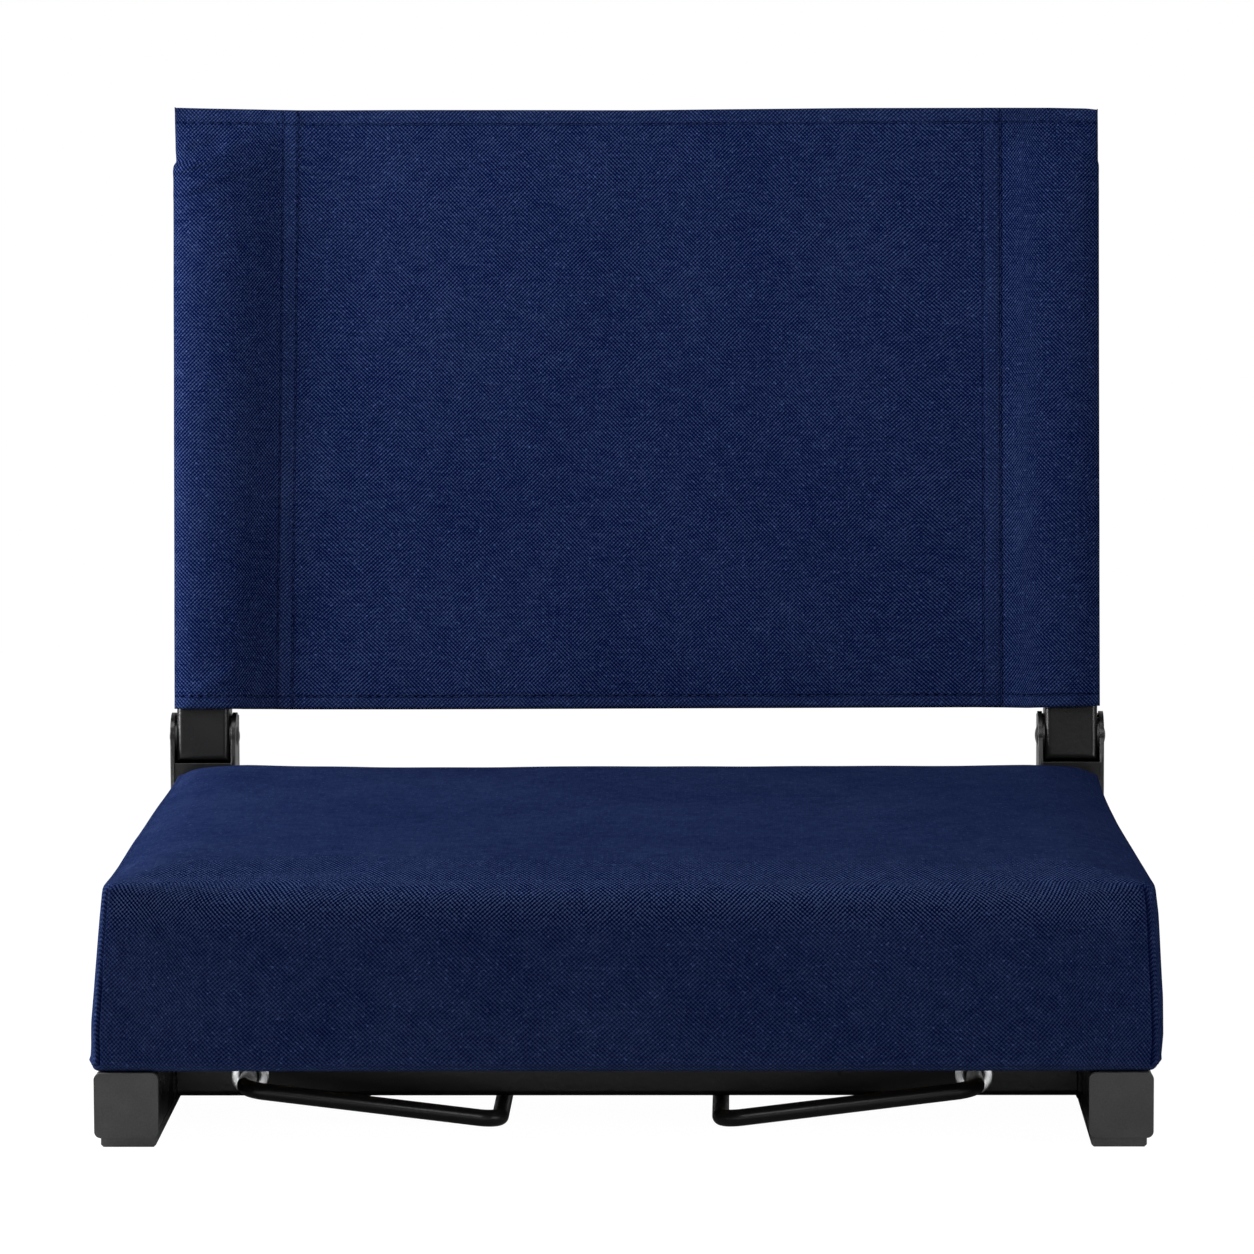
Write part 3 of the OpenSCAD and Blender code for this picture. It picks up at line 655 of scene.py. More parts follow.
# The rings of the cushion's surface: inset, height, share of the way up the wall, share of
# the seam, how far round the top edge, and the distance in over the top
def cushionRings():
    c, count = cushion, cushion["rings"]
    foot, high, lean = c["foot"], c["high"], c["leanIn"]
    turn = np.radians(np.linspace(c["footFrom"], 90, count["foot"]))
    z = np.linspace(foot + c["wallFrom"], high, count["wall"])
    hem = c["hemStep"] * (1 - ease(z, c["hemHigh"] - c["hemEdge"], c["hemHigh"] + c["hemEdge"]))
    edge = np.linspace(c["edgeFrom"], 1, count["edge"])
    reach = c["depth"] / 2 - lean - c["edgeFront"]
    over = reach * np.linspace(0, 1, count["top"])[1:] ** c["topSpacing"]
    return np.vstack([stacked(np.linspace(c["turnIn"], foot, count["under"]), 0, 0, 0, 0, 0),
                      stacked(foot * (1 - np.sin(turn)), foot * (1 - np.cos(turn)), 0, 0, 0, 0),
                      stacked(lean * (z / high) - hem, z, z / high, 1, 0, 0),
                      stacked(lean, high, 1, 1 - edge, edge, 0),
                      stacked(lean + over, high, 1, 0, 1, over)])


# How soft the top edge is at each point of the plan: tight at the corners and the sides,
# wider along the front and the rear
def edgeSize(plan):
    c = cushion
    w, d = c["width"] / 2, c["depth"] / 2
    toSide = w - np.abs(plan[:, 0])
    toEnd = d - np.abs(plan[:, 1])
    share = ease(toSide, *c["edgeRun"]) * (toEnd < toSide)
    wide = np.where(plan[:, 1] > 0, c["edgeRear"], c["edgeFront"])
    return c["edgeSide"] + (wide - c["edgeSide"]) * share


# The cloth's own coordinates: the plan on top, and unrolled by arc length down each panel
def cushionCloth(points, rows, columns, faces):
    atEnd = cornerShare()[1]
    grid = points.reshape(len(rows), columns, 3)
    edge = np.flatnonzero(rows[:, 5] == 0).max()
    run = runLength(grid)
    down = np.clip(run[edge] - run, 0, None)
    level = np.maximum(np.arange(len(rows)), edge)
    flat = grid[level][:, :, :2]
    turned = np.sign(flat) * down[:, :, None]
    bySide = (flat + turned * [1, 0]).reshape(-1, 2)
    byEnd = (flat + turned * [0, 1]).reshape(-1, 2)
    column = np.tile(np.arange(columns), len(rows) - 1)
    return np.where(atEnd[column][:, None, None], byEnd[faces], bySide[faces]).reshape(-1, 2)


# The height of the creases at each point of a face: each is a line from one point to
# another with a width and a height, which fades as exp(-(distance / width)^2)
def creased(points, lines):
    total = np.zeros(len(points))
    for x0, y0, x1, y1, wide, high in lines:
        start, along = np.array([x0, y0]), np.array([x1 - x0, y1 - y0])
        share = np.clip((points - start) @ along / (along @ along), 0, 1)
        away = np.linalg.norm(points - start - share[:, None] * along, axis=1)
        total += high * bell(away, 0, wide)
    return total


# The rings' points before they are shaped, with the seam's share and the distance in over
# the top at each
def cushionSurface(rows, outer):
    c = cushion
    corner, soft = cornerShare()[0], edgeSize(outer)
    rings, seams, overs = [], [], []
    for inset, z, share, seam, turn, over in rows:
        draw = share * c["drawIn"] * max(0, 1 - over / c["drawOver"])
        plan = planTable(inset, draw)
        angle = turn * math.pi / 2
        if turn > 0:  # inward is the plan's change for each metre of inset
            inward = (planTable(inset + 0.001, draw) - plan) * 1000
            plan = plan + inward * (soft * (1 - math.cos(angle)))[:, None]
            run = c["crownRun"] + ((c["rearRun"] - c["crownRun"])
                                   * ease(plan[:, 1], *c["rearFrom"]))
            rise = c["crown"] * (1 - (1 - np.minimum(over / run, 1)) ** c["crownBend"])
            high = c["high"] - soft * (1 - math.sin(angle)) + rise
        elif share > 0:
            high = z / c["high"] * (c["high"] - soft)
        else:
            high = np.full(len(plan), z)
        high = high + share * c["slope"] * plan[:, 1] / (c["depth"] / 2)
        rings.append(np.column_stack([plan, high]))
        seams.append(corner * seam)
        overs.append(np.full(len(plan), over))
    rings[-1][:, 1] = 0
    points, seams = np.vstack(rings), np.concatenate(seams)
    faded = c["seamLeft"] + (1 - c["seamLeft"]) * (1 - ease(points[:, 2], *c["seamFade"]))
    return points, seams * np.where(points[:, 0] > 0, 1.0, faded), np.concatenate(overs)


# Shapes the points in place: bulging sides and ends, sunk seams, slack walls, a raised rear,
# creases and folds. Returns the direction that each wall faces
def shapeCushion(points, seams, overs, side):
    c = cushion
    x, y, z = points.T
    w, d = c["width"] / 2, c["depth"] / 2
    right = x > 0

    def sided(key):
        return np.where(right, c[key][1], c[key][0])

    near = np.exp(-overs / c["bulgeOver"])
    nearSide = near * ease(np.abs(x), w - c["sideRun"][0], w - c["sideRun"][1])
    out = np.where(right, np.interp(z, c["heights"], c["bulgeRight"]),
                   np.interp(z, c["heights"], c["bulgeLeft"]))
    back = y + d
    fade = 1 - sided("loss") * ease(back, c["lossFrom"], sided("lossTo"))
    fade *= sided("fore") + sided("foreGain") * ease(back, 0, c["foreRun"])
    behind = (c["shoulder"] * hump(back, *c["shoulderRun"])
              + sided("flank") * hump(back, *c["flankRun"]))
    x += np.sign(x) * nearSide * (out * fade + behind * side)
    ends = np.interp(z, c["heights"], c["bulgeEnds"]) * ~side * near
    y += np.sign(y) * ends * ease(w - np.abs(x), 0.0, c["endRun"])
    atCorner = np.sign(points[:, :2]) / math.sqrt(2)
    points[:, :2] -= atCorner * (seams * c["seamDeep"])[:, None]
    outward = np.sign(points[:, :2]) * stacked(side, ~side)
    wall = hump(z, *c["wallLow"], c["high"] - c["wallHigh"], c["high"])
    slack = waves(points * [1, 1, c["slackUp"]], *c["slack"]) + waves(points, *c["fine"])
    points[:, :2] += outward * (slack * wall)[:, None]
    inner = ease(w - np.abs(x), *c["inner"])
    z += (c["rearRise"] * inner * ease(y, *c["rearRiseRun"])
          * ease(z, c["riseFrom"], c["high"]))
    z += (c["rearCorner"] * (1 - ease(overs, *c["rearCornerOver"])) * (1 - inner * c["kept"])
          * ease(y, *c["rearCornerRun"]) * ease(z, c["riseFrom"], c["high"]))
    front = (outward[:, 1] < 0) & (overs == 0)
    y -= np.where(front, creased(points[:, [0, 2]], c["creases"]), 0)
    z += ease(overs, 0.0, c["foldFrom"]) * creased(points[:, :2], c["folds"])
    edge = np.minimum(w - np.abs(x), d - np.abs(y))
    pull = np.exp(-edge / c["pullRun"]) * waves(points[:, :2], *c["pull"])
    z += ease(overs, *c["softFrom"]) * (pull + waves(points[:, :2], *c["soft"]))
    return outward


# A grid of rings by columns: from under the board out to the edge, up the walls, round the
# top edge and in over the crowned top
def makeCushion():
    c = cushion
    rows = cushionRings()
    outer = planTable(0, 0)
    points, seams, overs = cushionSurface(rows, outer)
    side = np.tile(np.abs(outer[:, 0]) > c["width"] / 2 - c["sideIn"], len(rows))
    outward = shapeCushion(points, seams, overs, side)
    points += [0, c["midY"], c["low"]]
    columns = len(outer)
    faces = gridFaces(len(rows), columns, True)
    thing = addMesh("seatCushion", points, faces, "seat", "navy_cloth", cloth,
                    cushionCloth(points, rows, columns, faces))
    mesh = thing.data
    above = points[:, 2] - c["low"]
    under, over = c["hemTone"]
    # The hem band at the foot of the walls, which the cloth paints lighter as a painted highlight
    hem = 1 - ease(above, c["hemHigh"] - under, c["hemHigh"] + over)
    # A band along the front under the rounded top edge, where the cloth is painted as a highlight
    paintedHighlight = bell(above, c["highlightHigh"], c["highlightWide"]) * (outward[:, 1] < 0)
    for key, values in (("seam", seams), ("hem", hem), ("paintedHighlight", paintedHighlight)):
        layer = mesh.attributes.new(key, "FLOAT", "POINT")
        layer.data.foreach_set("value", np.asarray(values, np.float32))
    made = bmesh.new()
    made.from_mesh(mesh)
    made.verts.ensure_lookup_table()
    bmesh.ops.remove_doubles(made, verts=made.verts[len(points) - columns:],
                              dist=c["joined"])
    bmesh.ops.recalc_face_normals(made, faces=made.faces)
    made.to_mesh(mesh)
    made.free()
    shadeSmooth(mesh)
    shell = thing.modifiers.new("cloth", "SOLIDIFY")
    shell.thickness, shell.offset = c["thick"], -1
    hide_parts("seat_cover", "seat_foam")
    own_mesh(thing)


makeCushion()
print("cushion made")


# Back cover: one cloth, wrapped round both posts and sewn back to itself in two bands

backPlace = {"y": 0.154792, "z": 0.1238, "recline": 6.0}


# A point up the posts' slope: x across, d rearward from the posts' middle, h up from the hinge
def onBack(x, d, h):
    lean = math.radians(backPlace["recline"])
    y = backPlace["y"] + d * math.cos(lean) + h * math.sin(lean)
    z = backPlace["z"] - d * math.sin(lean) + h * math.cos(lean)
    return np.stack(np.broadcast_arrays(x, y, z), -1)


# Folds are a height, a width, a slant, a length and a depth; an edge is pairs of a place
# across and the millimetres that the cloth's edge stands higher there
backCover = {
    "postX": 0.199, "halfWide": 0.0129, "halfDeep": 0.0130, "turn": 0.0062, "low": 0.0133,
    "high": 0.28775, "taper": 0.26195, "seam": 0.16195, "band": 0.0075, "cloth": 0.0008,
    "hem": 0.007, "rowsPart": (0.25595, 0.25695), "rowsUp": 132, "rowsTop": 36,
    "middle": 120, "slant": 32, "flat": 12, "arc": 20, "bandSteps": 9, "bend": 1.9,
    "square": 2.4, "lift": 0.6, "close": 0.85, "closeEnd": 0.004,
    "dip": 0.0012, "dipRun": (0.185, 0.212), "dipRise": 0.0018, "dipBack": 0.0024,
    "dipRight": 0.3, "panel": (0.145, 0.165), "sag": 0.00096, "slow": (0.16, 11, 0.0007),
    "fine": (0.05, 12, 0.00025), "fineUp": 0.55, "edgeFade": 0.02, "sleeve": (0.163, 0.175),
    "sleeveWaves": (0.06, 14, 0.00025), "sleeveAcross": 0.4, "foldRight": 0.6, "cornerX": 0.212,
    "cornerWide": 0.022, "front": 0.007, "topFolds": (0.2585, 0.013, 0.35, 0.0105, 0.0009),
    "lowFolds": (0.022, 0.008, -0.5, 0.009, 0.0003), "ridge": 0.0005,
    "ridgeRun": (0.1530, 0.1546, 0.1612, 0.1628), "shiftRun": (0.1, 0.161, 0.165, 0.187),
    "shiftRight": 0.0060, "shiftLeft": (0.0007, 0.0037),
    "creases": ((-0.2105, 0.2640, -0.1930, 0.2720, 0.0045, 0.0013),
                (-0.2100, 0.2560, -0.1870, 0.2645, 0.0045, -0.0007),
                (-0.2070, 0.0160, -0.1860, 0.0300, 0.0040, -0.0006),
                (0.2090, 0.2630, 0.1930, 0.2690, 0.0040, 0.0006),
                (0.1720, 0.0780, 0.1790, 0.1020, 0.0060, -0.0006)),
    "topEdge": ((-0.21, 1.6), (-0.2, 1.3), (-0.155, 0.3), (-0.11, 0.3), (0, -0.2), (0.1, 0.4),
                (0.19, 0.2), (0.207, -0.2), (0.213, -0.9)),
    "lowEdge": ((-0.213, -0.5), (-0.19, -0.5), (-0.155, -1.0), (-0.1, -1.1), (0, -0.9),
                (0.15, -0.6), (0.175, -0.8), (0.19, -0.5), (0.213, 0.2)),
}


# The right half of the cloth's section round a post, from the middle of the back to the
# end of the band behind it, as x and d. Towards the post the depth goes as
# 1 - (1 - s)^bend, and on past the post's middle it is a squared-off ellipse
def coverHalf():
    c = backCover
    w, d, turn = c["halfWide"], c["halfDeep"], c["turn"]
    t = c["cloth"] / 2
    middle = stacked(np.linspace(0, c["seam"], c["middle"] + 1), -t)
    s = np.linspace(0, 1, c["slant"] + 1)[1:]
    slant = stacked(c["seam"] + (c["postX"] - c["seam"]) * s,
                    -t - (d - t) * (1 - (1 - s) ** c["bend"]))
    angle = np.linspace(0, math.pi / 2, c["arc"] + 1)[1:]
    power = 2 / c["square"]
    arc = stacked(c["postX"] + w * np.sin(angle) ** power,
                  -(d - turn) - turn * np.abs(np.cos(angle)) ** power)
    side = stacked(c["postX"] + w, np.linspace(-d + turn, d - turn, c["flat"] + 1)[1:])
    front = np.vstack([middle, slant, arc])
    rear = (front[::-1] * [1, -1])[:len(slant) + len(arc) + 1]
    over = t + c["cloth"] * c["lift"]
    band = stacked(np.linspace(c["seam"], c["seam"] - c["band"], c["bandSteps"])[1:], over)
    rear[-1, 1] = over
    return np.vstack([front, side, rear[1:], band])


# The whole section: the right half, and (-x, d) of it for the left
def coverSection():
    right = coverHalf()
    return np.vstack([right[:0:-1] * [-1, 1], right])


# Slanting folds in a band of heights, which only stand outward: a sine under a bell, with
# the half that would press inward cut off
def outwardFolds(h, x, at, wide, slant, long, high):
    fold = bell(h, at, wide) * np.sin(2 * math.pi * (h + slant * np.abs(x)) / long)
    return (fold - np.abs(fold)) * high


# Bends the flat drawing of the cover into its place at height h: depth drawn in above the
# posts, the edges dipped there, a slack middle and soft waves
def coverPoints(section, h):
    c = backCover
    x, d = section[None, :, 0], section[None, :, 1]
    h = h[:, None]
    above = np.clip((h - c["taper"]) / (c["high"] - c["taper"] - c["closeEnd"]), 0, 1)
    thin = np.clip(np.abs(d) - c["cloth"], 0, None)
    d = np.sign(d) * (np.abs(d) - thin * (1 - (1 - above) ** c["close"]))
    kink = c["taper"] + c["dipRise"]
    dip = np.where(h > kink, (c["high"] - h) / (c["high"] - kink),
                   1 - ease(kink - h, 0, c["dipBack"]))
    dip = c["dip"] * dip * ease(np.abs(x), *c["dipRun"]) * np.where(x < 0, 1, c["dipRight"])
    x = x - np.sign(x) * dip
    up = (h - c["low"]) / (c["high"] - c["low"])
    place = np.stack(np.broadcast_arrays(x, h), -1)
    flat, shape = place.reshape(-1, 2), place.shape[:2]

    def soft(key, across, upward):
        return waves(flat * [across, upward], *c[key]).reshape(shape)

    d = d + (1 - ease(np.abs(x), *c["panel"])) * (
        c["sag"] * np.sin(math.pi * up) + soft("slow", 1, 1) + soft("fine", 1, c["fineUp"]))
    low = np.interp(x, *np.transpose(c["lowEdge"])) * np.exp(-(h - c["low"]) / c["edgeFade"])
    top = np.interp(x, *np.transpose(c["topEdge"])) * np.exp(-(c["high"] - h) / c["edgeFade"])
    h = h + (low + top) / 1000
    sleeve = ease(np.abs(x), *c["sleeve"])
    d = d + sleeve * np.sign(d) * soft("sleeveWaves", c["sleeveAcross"], 1)
    ahead = ease(-d, 0.0, c["front"])
    share = np.where(x < 0, 1, c["foldRight"])
    corner = bell(np.abs(x), c["cornerX"], c["cornerWide"])
    d = d + corner * share * ahead * outwardFolds(h, x, *c["topFolds"])
    d = d + creased(flat, c["creases"]).reshape(shape) * (d < 0) * ahead
    d = d + sleeve * share * ahead * outwardFolds(h, x, *c["lowFolds"])
    d = d - hump(np.abs(x), *c["ridgeRun"]) * (d < 0) * c["ridge"]
    least, more = c["shiftLeft"]
    right = c["shiftRight"] * hump(x, *c["shiftRun"])
    left = (least + more * (1 - up)) * hump(-x, *c["shiftRun"])
    return onBack(x + right - left, d, h)


# The sewn lines: each seam's place across the cloth, and the hems' heights
seamLines = {
    "across": (-0.1612, -0.1545, 0.1538, 0.1615), "hems": (0.0188, 0.2811),
    "long": 0.0030, "step": 0.0042, "wide": 0.00062, "high": 0.0005, "reach": 0.2075,
    "skin": 0.0004, "ahead": 0.0003, "points": 240, "endGap": 0.001, "front": 0.5, "rear": 1.9,
    "turned": 0.05,
}


# A grid of heights by section points, each row the section bent into its place
def makeBackCover():
    c = backCover
    section = coverSection()
    h = np.concatenate([np.linspace(c["low"], c["rowsPart"][0], c["rowsUp"]),
                        np.linspace(c["rowsPart"][1], c["high"], c["rowsTop"])])
    points = coverPoints(section, h)
    rows, columns = points.shape[:2]
    length, faces = runLength(section), gridFaces(rows, columns)
    uv = stacked(np.tile(length - length[-1] / 2, rows), np.repeat(h, columns))[faces.ravel()]
    sewn = makeCloth("navy_cloth_sewn", seamLines["across"], seamLines["hems"])
    thing = addMesh("backCover", points.reshape(-1, 3), faces, "back", "navy_cloth", sewn, uv)
    shell = thing.modifiers.new("cloth", "SOLIDIFY")
    shell.thickness, shell.offset = c["cloth"], 0
    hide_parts("back_cover")
    return thing, section, length[-1]


# Places and turns of the stitches along one sewn line, a step apart and a little uneven. The
# line is given by points close together, with the direction out of the cloth at each
def stitchLine(line, out):
    k, run = seamLines, runLength(line)
    rng = np.random.default_rng(len(line))
    at = np.arange(k["step"] / 2, run[-1], k["step"])

    def along(values, where):
        return np.stack([np.interp(where, run, column) for column in values.T], 1)

    middle = along(line, at)
    tangent = along(line, at + k["long"] / 3) - middle
    tangent /= np.linalg.norm(tangent, axis=1)[:, None] + 1e-12
    across = unit(np.cross(along(out, at), tangent))
    tangent = tangent + across * rng.normal(0, k["turned"], len(at))[:, None]
    return middle, stacked(tangent, across, np.cross(tangent, across))


# Stitches along the seams on both faces and along the hems on the front. Front and rear say
# how far they stand off the cloth's middle, in its thicknesses
def makeBackStitches(section):
    c, k = backCover, seamLines
    lean = math.radians(backPlace["recline"])
    upward = np.array([0, math.sin(lean), math.cos(lean)])
    ahead = np.array([0, -math.cos(lean), math.sin(lean)])
    heights = np.linspace(c["low"] + k["endGap"], c["high"] - k["endGap"], k["points"])
    lines = []
    for x in k["across"]:
        line = coverPoints(np.array([[x, -k["skin"]]]), heights)[:, 0]
        for face, off in ((ahead, k["front"]), (-ahead, k["rear"])):
            lines.append((line + face * c["cloth"] * off, np.broadcast_to(face, line.shape)))
    inside = section[(section[:, 1] < -k["ahead"]) & (np.abs(section[:, 0]) < k["reach"])]
    for h in k["hems"]:
        line = coverPoints(inside, np.array([h]))[0]
        face = unit(np.cross(np.gradient(line, axis=0), upward))
        lines.append((line + face * c["cloth"] * k["front"], face))
    places, axes = zip(*(stitchLine(line, face) for line, face in lines))
    shape, quads = pill(k["long"], k["wide"], k["high"])
    return repeated("backStitches", shape, quads, np.vstack(places), np.vstack(axes),
                    body="back", slot="navy_cloth", material=thread)


backCloth, backSection, backLength = makeBackCover()
backStitches = makeBackStitches(backSection)
# Each piece of the cover gets a mesh of its own
for piece in (backCloth, backStitches):
    top = onBack(0.0, 0.0, backCover["high"])
    tuple(onBack(0.0, 0.0, 1.0) - onBack(0.0, 0.0, 0.0))
    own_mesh(piece)
print("back cover made")


# Painted, rubber and plated pieces of the frame

for node in nodes.values():
    if not node.hide_render:
        shadeSmooth(node.data)


# Flat and sharp are the angles in degrees under which faces count as one and over which an
# edge is rounded
footEdges = {"front": 0.0009, "rear": 0.0008, "segments": 3, "flat": 1, "sharp": 35,
             "joined": 1e-6}


# A copy of a CAD piece with its edges rounded by the width
def rounded(node, name, width):
    k = footEdges
    mesh = nodes[node].data.copy()
    mesh.name = name
    made = bmesh.new()
    made.from_mesh(mesh)
    bmesh.ops.remove_doubles(made, verts=made.verts, dist=k["joined"])
    bmesh.ops.dissolve_limit(made, angle_limit=math.radians(k["flat"]), verts=made.verts,
                             edges=made.edges)
    made.to_mesh(mesh)
    made.free()
    if "custom_normal" in mesh.attributes:
        mesh.attributes.remove(mesh.attributes["custom_normal"])
    thing = addThing(name, mesh)
    bevel = thing.modifiers.new("edges", "BEVEL")
    bevel.width, bevel.segments, bevel.limit_method = width, k["segments"], "ANGLE"
    bevel.angle_limit = math.radians(k["sharp"])
    bevel.harden_normals = True
    shadeSmooth(mesh)
    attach(thing, "seat")
    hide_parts(node)


for side in ("left", "right"):
    rounded(f"foot_front_{side}", f"frontFoot{side.title()}", footEdges["front"])
    rounded(f"foot_rear_{side}", f"rearFoot{side.title()}", footEdges["rear"])
print("feet rounded")


# Hooks and weld beads: round sections carried along a line

# A surface round a line of points, line + radius (cos(turn) side + sin(turn) up): up is a
# direction square to the line at each point, side is square to both, and radius is one value
# per point, or one per point and step round it
def sweep(name, line, up, radius, around=24, closed=False, **more):
    if closed:
        tangent = np.roll(line, -1, axis=0) - np.roll(line, 1, axis=0)
    else:
        tangent = np.gradient(line, axis=0)
    side = unit(np.cross(tangent, up))
    turn = np.arange(around) * 2 * math.pi / around
    radius = np.asarray(radius, float).reshape(len(line), -1)[:, :, None]
    ring = (np.cos(turn)[None, :, None] * side[:, None]
            + np.sin(turn)[None, :, None] * up[:, None])
    points = (line[:, None] + radius * ring).reshape(-1, 3)
    faces = gridFaces(len(line), around, True).tolist()
    last = len(points) - around
    ends = [list(range(around)), list(range(last, len(points)))[::-1]]
    if closed:
        step = np.arange(around)
        ahead = (step + 1) % around
        ends = np.stack([last + step, last + ahead, ahead, step], 1).tolist()
    return addMesh(name, points, faces + ends, **more)


hookRod = {
    "pivotX": (-0.1567, 0.1445), "z": 0.0166, "reach": 0.106, "bend": 0.009, "drop": 0.0129,
    "front": -0.155708, "leg": 0.060, "radius": 0.0035, "pitch": 0.0014, "cut": 0.0003,
    "thread": 0.015, "cutFrom": 0.0008, "cutStep": 0.00014, "tip": 0.0006, "around": 24,
    "rearEnd": (0.0008, 0.0004, 0.0001), "endSteps": (0.0004, 0.0001, 0.0), "endFrom": 0.0007,
    "frontEnd": (0.0001, 0.0004, 0.0009),
}


# A hook's rod: a pivot leg with a thread on its rear end, a quarter circle, the crossing rod,
# a quarter circle and the leg that catches the bench. The thread's depth is a triangle wave
# of y / pitch - angle, and both ends are blunted
def makeHook(side, node, name, body):
    k = hookRod
    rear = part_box(node)[1][1]
    r, front, far = k["bend"], k["front"], k["reach"]
    lean, sign = math.asin(k["drop"] / far), -side
    turn = np.linspace(0, math.pi / 2, 15)
    tip = np.linspace(rear, rear - k["tip"], 4)
    cut = np.arange(rear - k["cutFrom"], rear - k["thread"], -k["cutStep"])
    leg = np.concatenate([tip, cut, np.linspace(cut[-1] - k["tip"], front + r, 8)[:-1]])
    end = front + np.concatenate([np.linspace(r, k["leg"] - k["endFrom"], 6)[1:],
                                  k["leg"] - np.array(k["endSteps"])])
    flat = np.vstack([stacked(0, leg),
                      stacked(r - r * np.cos(turn), front + r - r * np.sin(turn)),
                      stacked(np.linspace(r, far - r, 12)[1:-1], front),
                      stacked(far - r + r * np.sin(turn), front + r - r * np.cos(turn)),
                      stacked(far, end)])
    line = stacked(k["pivotX"][side > 0] + sign * flat[:, 0] * math.cos(lean), flat[:, 1],
                   k["z"] - flat[:, 0] * math.sin(lean))
    up = np.broadcast_to([sign * math.sin(lean), 0, math.cos(lean)], line.shape)
    radius = np.full((len(line), k["around"]), k["radius"])
    radius[:3] -= np.array(k["rearEnd"])[:, None]
    radius[-3:] -= np.array(k["frontEnd"])[:, None]
    angle = np.arange(k["around"]) / k["around"]
    phase = (cut[:, None] / k["pitch"] - angle) % 1
    radius[len(tip):len(tip) + len(cut)] -= k["cut"] * np.abs(2 * phase - 1)
    thing = sweep(name, line, up, radius, body=body, slot="black_paint", material=paint)
    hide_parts(node)


makeHook(-1, "hook_left", "hookLeft", "left_hook")
makeHook(1, "hook_right", "hookRight", "right_hook")


washer = {"middle": 0.0059, "halfWide": 0.0022, "halfDeep": 0.00078, "square": 0.7,
          "around": 48, "section": 14}


# A domed washer on each face of the crossbar round each hook's leg: a ring whose section
# is a squared-off ellipse
def makeWashers():
    k = washer
    low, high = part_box("hook_washers")
    around, section = k["around"], k["section"]
    turn = np.arange(around)[:, None] * 2 * math.pi / around
    angle = np.arange(section)[None, :] * 2 * math.pi / section

    def squared(value):
        return np.sign(value) * np.abs(value) ** k["square"]

    far = k["middle"] + k["halfWide"] * squared(np.cos(angle))
    shape = np.stack(np.broadcast_arrays(
        far * np.cos(turn), k["halfDeep"] * squared(np.sin(angle)), far * np.sin(turn)),
        -1).reshape(-1, 3)
    quads = gridFaces(around + 1, section, True) % len(shape)
    places = np.array([(x, y, hookRod["z"]) for x in hookRod["pivotX"]
                       for y in (low[1] + k["halfDeep"], high[1] - k["halfDeep"])])
    thing = repeated("hookWashers", shape, quads, places,
                     np.broadcast_to(np.eye(3), (4, 3, 3)), body="seat", slot="zinc",
                     material=zincPlate)
    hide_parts("hook_washers")


makeWashers()


welds = {"radius": 0.0015, "ripple": 0.0018, "uneven": 0.14, "step": 0.0005, "corner": 0.0024,
         "outerCorner": 0.003, "inner": 0.1895, "wander": (0.02, 21, 0.7), "around": 8,
         "fade": (-0.0004, 0.003), "arcSteps": 8}


# A rounded rectangle as points about a step apart
def steppedLoop(width, height, corner):
    counts = [int((size - 2 * corner) / welds["step"]) for size in (width, height)]
    return roundedLoop(width / 2, height / 2, corner, welds["arcSteps"], counts)


# The beads' radius swells once a ripple along the line, and wanders a little
def makeBead(name, line, up, closed):
    k = welds
    run = runLength(line)
    swell = k["uneven"] * (np.cos(2 * math.pi * run / k["ripple"])
                           + waves(line, *k["wander"]))
    radius = k["radius"] * (1 + swell)
    if not closed:
        radius = radius * ease(np.minimum(run, run[-1] - run), *k["fade"])
    sweep(name, line, up, radius, k["around"], closed, body="seat", slot="black_paint",
          material=paint)


# Round both ends of the crossbars, and under the uprights except on their inner side
def makeWelds():
    k = welds
    for node, place in (("front_crossbar", "front"), ("rear_crossbar", "rear")):
        low, high = np.array(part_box(node))
        loop = steppedLoop(high[1] - low[1], high[2] - low[2], k["corner"])
        middle = (low + high) / 2
        for x, side in ((low[0], "Left"), (high[0], "Right")):
            line = stacked(x, *(loop + middle[1:]).T)
            makeBead(f"{place}BarWeld{side}", line, np.broadcast_to([1.0, 0, 0], line.shape),
                     True)
    for node, side in (("upright_left", "Left"), ("upright_right", "Right")):
        low, high = np.array(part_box(node))
        middle = (low + high) / 2
        loop = steppedLoop(high[0] - low[0], high[1] - low[1], k["outerCorner"]) + middle[:2]
        # Turned so that the line starts in the middle of the side that is left out
        start = int(np.argmin(np.abs(loop[:, 0]) + 10 * np.abs(loop[:, 1] - middle[1])))
        loop = np.roll(loop, -start, axis=0)
        line = stacked(*loop[np.abs(loop[:, 0]) > k["inner"]].T, low[2])
        makeBead(f"uprightWeld{side}", line, np.broadcast_to([0, 0, 1.0], line.shape), False)


makeWelds()
print("hooks and welds made")


staples = {"long": 0.011, "wide": 0.0009, "high": 0.0005, "step": 0.032, "z": 0.0305,
           "endX": 0.165, "ends": (-0.169, 0.113), "sideX": 0.184, "sideY": (-0.155, 0.1),
           "turned": 0.06, "moved": 0.0008}


